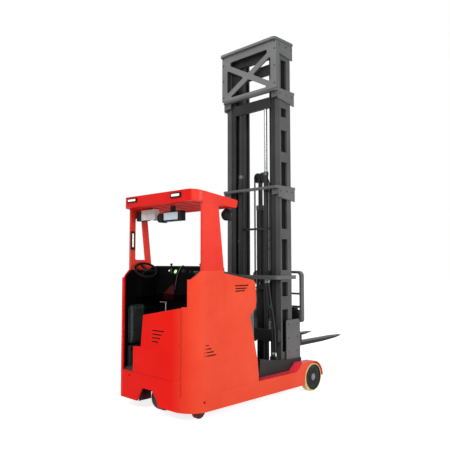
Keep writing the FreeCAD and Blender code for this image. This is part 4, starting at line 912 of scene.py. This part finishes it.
cap = Shape("steering_wheel_cap")
cap.turned([(29, 0), (29, 3), (24, 7), (12, 9.5), (2, 10)], STEER_CENTRE + STEER_AXIS * 5, STEER_AXIS,
           "black_trim", 24)
cap.ride("steering_wheel", "trim_plastic")


# Wheels

LOAD_WHEEL_BOLTS = 6
DRIVE_WHEEL_BOLTS = 7


def spoke(turn):
    """Direction from the axle of a wheel at an angle about Y."""
    return Vector((math.cos(turn), 0, math.sin(turn)))


for side, body in ((1, "load_wheel_left"), (-1, "load_wheel_right")):
    hub = Shape(body + "_hub")
    outward = Vector((0, side, 0))
    # Middle of the hub's cap, of the circle of bolts and of the ribs between them
    centre, bolt_centre, rib_centre = (Vector((WHEEL_X, side * y, WHEEL_Z)) for y in (598, 583, 586))
    cap = [(HUB_CAP_RADIUS, 0), (HUB_CAP_RADIUS, 4), (31, 6), (24, 6), (21, 8), (2, 8.5)]
    hub.turned(cap, centre, outward, "hub_grey", 28)
    for i in range(LOAD_WHEEL_BOLTS):
        turn = 2 * math.pi * (i + 0.5) / LOAD_WHEEL_BOLTS
        hub.bolt(bolt_centre + spoke(turn) * 92, outward, "rim_black", 9, 8)
        rib = spoke(turn + math.pi / LOAD_WHEEL_BOLTS)
        hub.pipe([rib_centre + rib * 62, rib_centre + rib * 138], 3.5, "rim_black", 6)
    hub.ride(body, "drive_iron")

drive = Shape("drive_wheel_bolts")
drive_centre = Vector((DRIVE_X, DRIVE_Y - 33, DRIVE_Z))
for i in range(DRIVE_WHEEL_BOLTS):
    out = spoke(2 * math.pi * i / DRIVE_WHEEL_BOLTS)
    drive.bolt(drive_centre + out * 72, RIGHTWARD, "steel", 9, 9)
drive.ride("drive_wheel", "steel")


# Mast: bolts, rings of the cylinders and chains

bolts = Shape("mast_bolts")
# Rear bolts of the head and of the two upper bands: X, Y and heights
for x, y, heights in ((1500, 430, (4205, 4110, 3685, 3905)),
                      (1540, 385, (MIDDLE_BAND_TOP - 55, HEAD_BAND_TOP - 50))):
    for z in heights:
        for side in SIDES:
            bolts.bolt((x, side * y, z), BACKWARD, "dark_steel_and_painted_shade", 9, 7)
# Bolts in the boxes beside the mast
for z in (MAST_HEIGHT - 80, HEAD_BAND_TOP - 62, MIDDLE_BAND_TOP - 62):
    for x in (1570, 1690, 1800):
        for side in SIDES:
            bolts.bolt((x, side * 455, z), (0, side, 0), "dark_steel_and_painted_shade", 9, 7)
# Bolts in the plates at the foot
for x in (1690, 1860):
    for z in (480, 640, 800):
        for side in SIDES:
            bolts.bolt((x, side * 464, z), (0, side, 0), "dark_steel_and_painted_shade", 9, 6)
for y in (-406, 406):
    for z in (634, 712):
        bolts.bolt((1520, y, z), BACKWARD, "dark_steel_and_painted_shade", 9, 7)
bolts.ride("reach_carriage", "steel")

rings = Shape("lift_cylinder_glands")
gland = [(29.2, -46), (32.5, -44), (32.5, -6), (30, 0), (24, 3), (20.8, 3)]
barrel_ring = [(29.3, -12), (31, -10), (31, 10), (29.3, 12)]
for side in SIDES:
    rings.turned(gland, (BARREL_X, side * BARREL_Y, BARREL_TOP), UPWARD, "dark_steel_and_painted_shade", 28)
    for z in (900, 1700, 2400):
        rings.turned(barrel_ring, (BARREL_X, side * BARREL_Y, z), UPWARD, "mast_grey", 28)
# Oil pipe beside each barrel, held by clips: X, distance from the middle and Z
oil_pipe = [(1600, 252, 650), (1600, 252, 2500), (1600, 246, 2530), (1598, 236, 2545)]
for side in SIDES:
    rings.pipe([(x, side * y, z) for x, y, z in oil_pipe], 8, "mast_grey", 12)
    low_y, high_y = sorted((side * 230, side * 262))
    for z in (700, 1150, 1800, 2450):
        rings.block((1592, low_y, z - 12), (1608, high_y, z + 12), "dark_steel_and_painted_shade", 3)
rings.ride("reach_carriage", "steel")

rings = Shape("free_cylinder_gland")
gland = [(50.4, -60), (55, -57), (55, -8), (51, 0), (36, 4), (28.8, 4)]
rings.turned(gland, (FREE_X, 0, 2250), UPWARD, "dark_steel_and_painted_shade", 32)
rings.turned([(50.4, -14), (53, -12), (53, 12), (50.4, 14)], (FREE_X, 0, 1600), UPWARD, "mast_grey", 32)
rings.ride("inner_mast", "steel")

rings = Shape("reach_cylinder_gland")
gland = [(40.3, -44), (43, -42), (43, -4), (38, 2), (22.8, 3)]
rings.turned(gland, (1012, 0, 190), FORWARD, "dark_steel_and_painted_shade", 28)
rings.ride("truck", "steel")

LINK_PITCH = 19.05
LINK_RADIUS = SHEAVE_RADIUS + 6.3
FRONT_RUNS = 6


def link_outline(centre, along, across, y):
    """Waisted outline of one chain plate, as points at a given Y."""
    half = LINK_PITCH / 2 + 3.6
    rows = [(-half, 0), (-half + 2.6, 4.6), (-3.5, 4.8), (0, 4.2), (3.5, 4.8), (half - 2.6, 4.6), (half, 0),
            (half - 2.6, -4.6), (3.5, -4.8), (0, -4.2), (-3.5, -4.8), (-half + 2.6, -4.6)]
    places = [centre + along * a + across * b for a, b in rows]
    return [(place.x, y, place.z) for place in places]


def chain_run(name, points, first):
    """Two leaf chains through pin places (x, z), their plates in turn inside and outside."""
    shape = Shape(name)
    pin = [(2.4, 0), (2.9, 1), (2.9, 20.5), (2.4, 21.5)]
    for side in SIDES:
        middle = side * CHAIN_Y
        for i, ends in enumerate(zip(points, points[1:])):
            start, end = (Vector((x, 0, z)) for x, z in ends)
            along = (end - start).normalized()
            across = along.cross(LEFTWARD)
            for spot in (-10.5, -3.5, 3.5) if (i + first) % 2 else (-7.0, 0.0, 7.0):
                outline = link_outline((start + end) / 2, along, across, middle + spot)
                shape.prism(outline, (0, 3.0, 0), "chain_steel")
        for x, z in points:
            shape.turned(pin, (x, middle - 10.7, z), LEFTWARD, "dark_steel_and_painted_shade", 8)
    return shape


def straight(x, z0, z1):
    """Pin places along an upright run of chain."""
    count = round((z1 - z0) / LINK_PITCH)
    return [(x, z0 + (z1 - z0) * i / count) for i in range(count + 1)]


def over_sheave():
    """Pin places over the top of the sheave."""
    count = round(math.pi * LINK_RADIUS / LINK_PITCH)
    turns = [math.pi * i / count for i in range(count + 1)]
    return [(FREE_X + LINK_RADIUS * math.cos(turn), SHEAVE_Z + LINK_RADIUS * math.sin(turn))
            for turn in turns]


arch = chain_run("chain_over_sheaves", over_sheave(), 0).ride("free_lift", "steel")
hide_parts("carriage_chains")
rear_chain = chain_run("chain_behind", straight(FREE_X - LINK_RADIUS, CHAIN_FOOT + 6, SHEAVE_Z), 1).made()
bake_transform(rear_chain)

# The sheave makes half the carriage's way and the lugs all of it, so the chain between them is cut into
# runs that close up evenly instead of folding at the sheave
front_x = FREE_X + LINK_RADIUS
front_pins = straight(front_x, CHAIN_LUG_TOP + 6, SHEAVE_Z)
for run in range(FRONT_RUNS):
    first = len(front_pins) * run // FRONT_RUNS
    last = min(len(front_pins) * (run + 1) // FRONT_RUNS, len(front_pins) - 1)
    front_chain = chain_run(f"chain_in_front_{run + 1}", front_pins[first:last + 1], 1 + first).made()
    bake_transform(front_chain)

anchors = Shape("chain_anchors")
for side in SIDES:
    foot = (FREE_X - LINK_RADIUS, side * CHAIN_Y, CHAIN_FOOT - 12)
    anchors.turned([(9, 0), (9, 26), (7, 30)], foot, UPWARD, "steel", 16)
anchors.ride("inner_mast", "steel")

lugs = Shape("carriage_bolts")
for side in SIDES:
    foot = (front_x, side * CHAIN_Y, CHAIN_LUG_TOP - 6)
    lugs.turned([(9, 0), (9, 22), (7, 26)], foot, UPWARD, "steel", 16)
    for z in (580, 740, 900):
        lugs.bolt((1880, side * 222, z), (0, side, 0), "dark_steel_and_painted_shade", 9, 5)
    lugs.turned([(24, 0), (24, 8), (20, 11)], (1945, side * 240, 600), (0, side, 0), "steel", 24)
lugs.ride("fork_carriage", "steel")

holders = Shape("backrest_bolts")
for y in (-130, 130):
    for z in (986, 1139):
        holders.bolt((2037, y, z), BACKWARD, "dark_steel_and_painted_shade", 8, 6)
for y in (-385, 385):
    for z in (830, 915):
        holders.bolt((1990, y, z), BACKWARD, "dark_steel_and_painted_shade", 10, 7)
for y in (-250, 250):
    holders.turned([(12, 0), (12, 16), (16, 18), (16, 26), (12, 30)], (2026, y, 959), UPWARD, "steel", 18)
holders.ride("fork_frame", "steel")


# Floor, light and background

def white_to_camera(tree):
    """1 for rays that show the background: from the camera, or by way of gloss or glass."""
    path = tree.nodes.new("ShaderNodeLightPath")
    total = path.outputs["Is Camera Ray"]
    for name in ("Is Glossy Ray", "Is Transmission Ray"):
        add = tree.nodes.new("ShaderNodeMath")
        add.operation = "MAXIMUM"
        tree.links.new(total, add.inputs[0])
        tree.links.new(path.outputs[name], add.inputs[1])
        total = add.outputs["Value"]
    return total


def make_floor():
    """Pale floor that looks white and keeps the truck's shadow."""
    mesh = bpy.data.meshes.new("floor")
    corners = [(x * FLOOR_HALF, y * FLOOR_HALF, 0) for x, y in ((-1, -1), (1, -1), (1, 1), (-1, 1))]
    mesh.from_pydata(corners, [], [(0, 1, 2, 3)])
    floor = bpy.data.objects.new("floor", mesh)
    bpy.context.scene.collection.objects.link(floor)
    material, tree, shader = new_material("floor_white", grey(0.9), 0.95, 0.0, 0.0)
    white = tree.nodes.new("ShaderNodeEmission")
    scale = tree.nodes.new("ShaderNodeMath")
    scale.operation = "MULTIPLY"
    scale.inputs[1].default_value = FLOOR_GLOW
    tree.links.new(white_to_camera(tree), scale.inputs[0])
    tree.links.new(scale.outputs["Value"], white.inputs["Strength"])
    both = tree.nodes.new("ShaderNodeAddShader")
    tree.links.new(shader.outputs["BSDF"], both.inputs[0])
    tree.links.new(white.outputs["Emission"], both.inputs[1])
    tree.links.new(both.outputs["Shader"], tree.nodes["Material Output"].inputs["Surface"])
    mesh.materials.append(material)


def make_world():
    """White to the camera, soft grey light to everything else."""
    world = bpy.data.worlds.new("studio")
    bpy.context.scene.world = world
    world.use_nodes = True
    tree = world.node_tree
    tree.nodes.clear()
    out = tree.nodes.new("ShaderNodeOutputWorld")
    mix = tree.nodes.new("ShaderNodeMixShader")
    soft = tree.nodes.new("ShaderNodeBackground")
    white = tree.nodes.new("ShaderNodeBackground")
    soft.inputs["Color"].default_value = (0.95, 0.97, 1.0, 1)
    soft.inputs["Strength"].default_value = WORLD_LIGHT
    white.inputs["Color"].default_value = (1, 1, 1, 1)
    white.inputs["Strength"].default_value = 1.0
    tree.links.new(white_to_camera(tree), mix.inputs["Fac"])
    tree.links.new(soft.outputs["Background"], mix.inputs[1])
    tree.links.new(white.outputs["Background"], mix.inputs[2])
    tree.links.new(mix.outputs["Shader"], out.inputs["Surface"])


def make_light(name, place, target, size, power):
    """Square area lamp aimed at a point."""
    data = bpy.data.lights.new(name, "AREA")
    data.shape = "SQUARE"
    data.size = size
    data.energy = power
    lamp = bpy.data.objects.new(name, data)
    lamp.location = place
    lamp.rotation_euler = (Vector(target) - Vector(place)).to_track_quat("-Z", "Y").to_euler()
    bpy.context.scene.collection.objects.link(lamp)


make_floor()
make_world()
for name, place, aim, size, power in LAMPS:
    make_light(name, place, (0, 0, aim), size, power)
bpy.context.scene.view_settings.view_transform = "Standard"
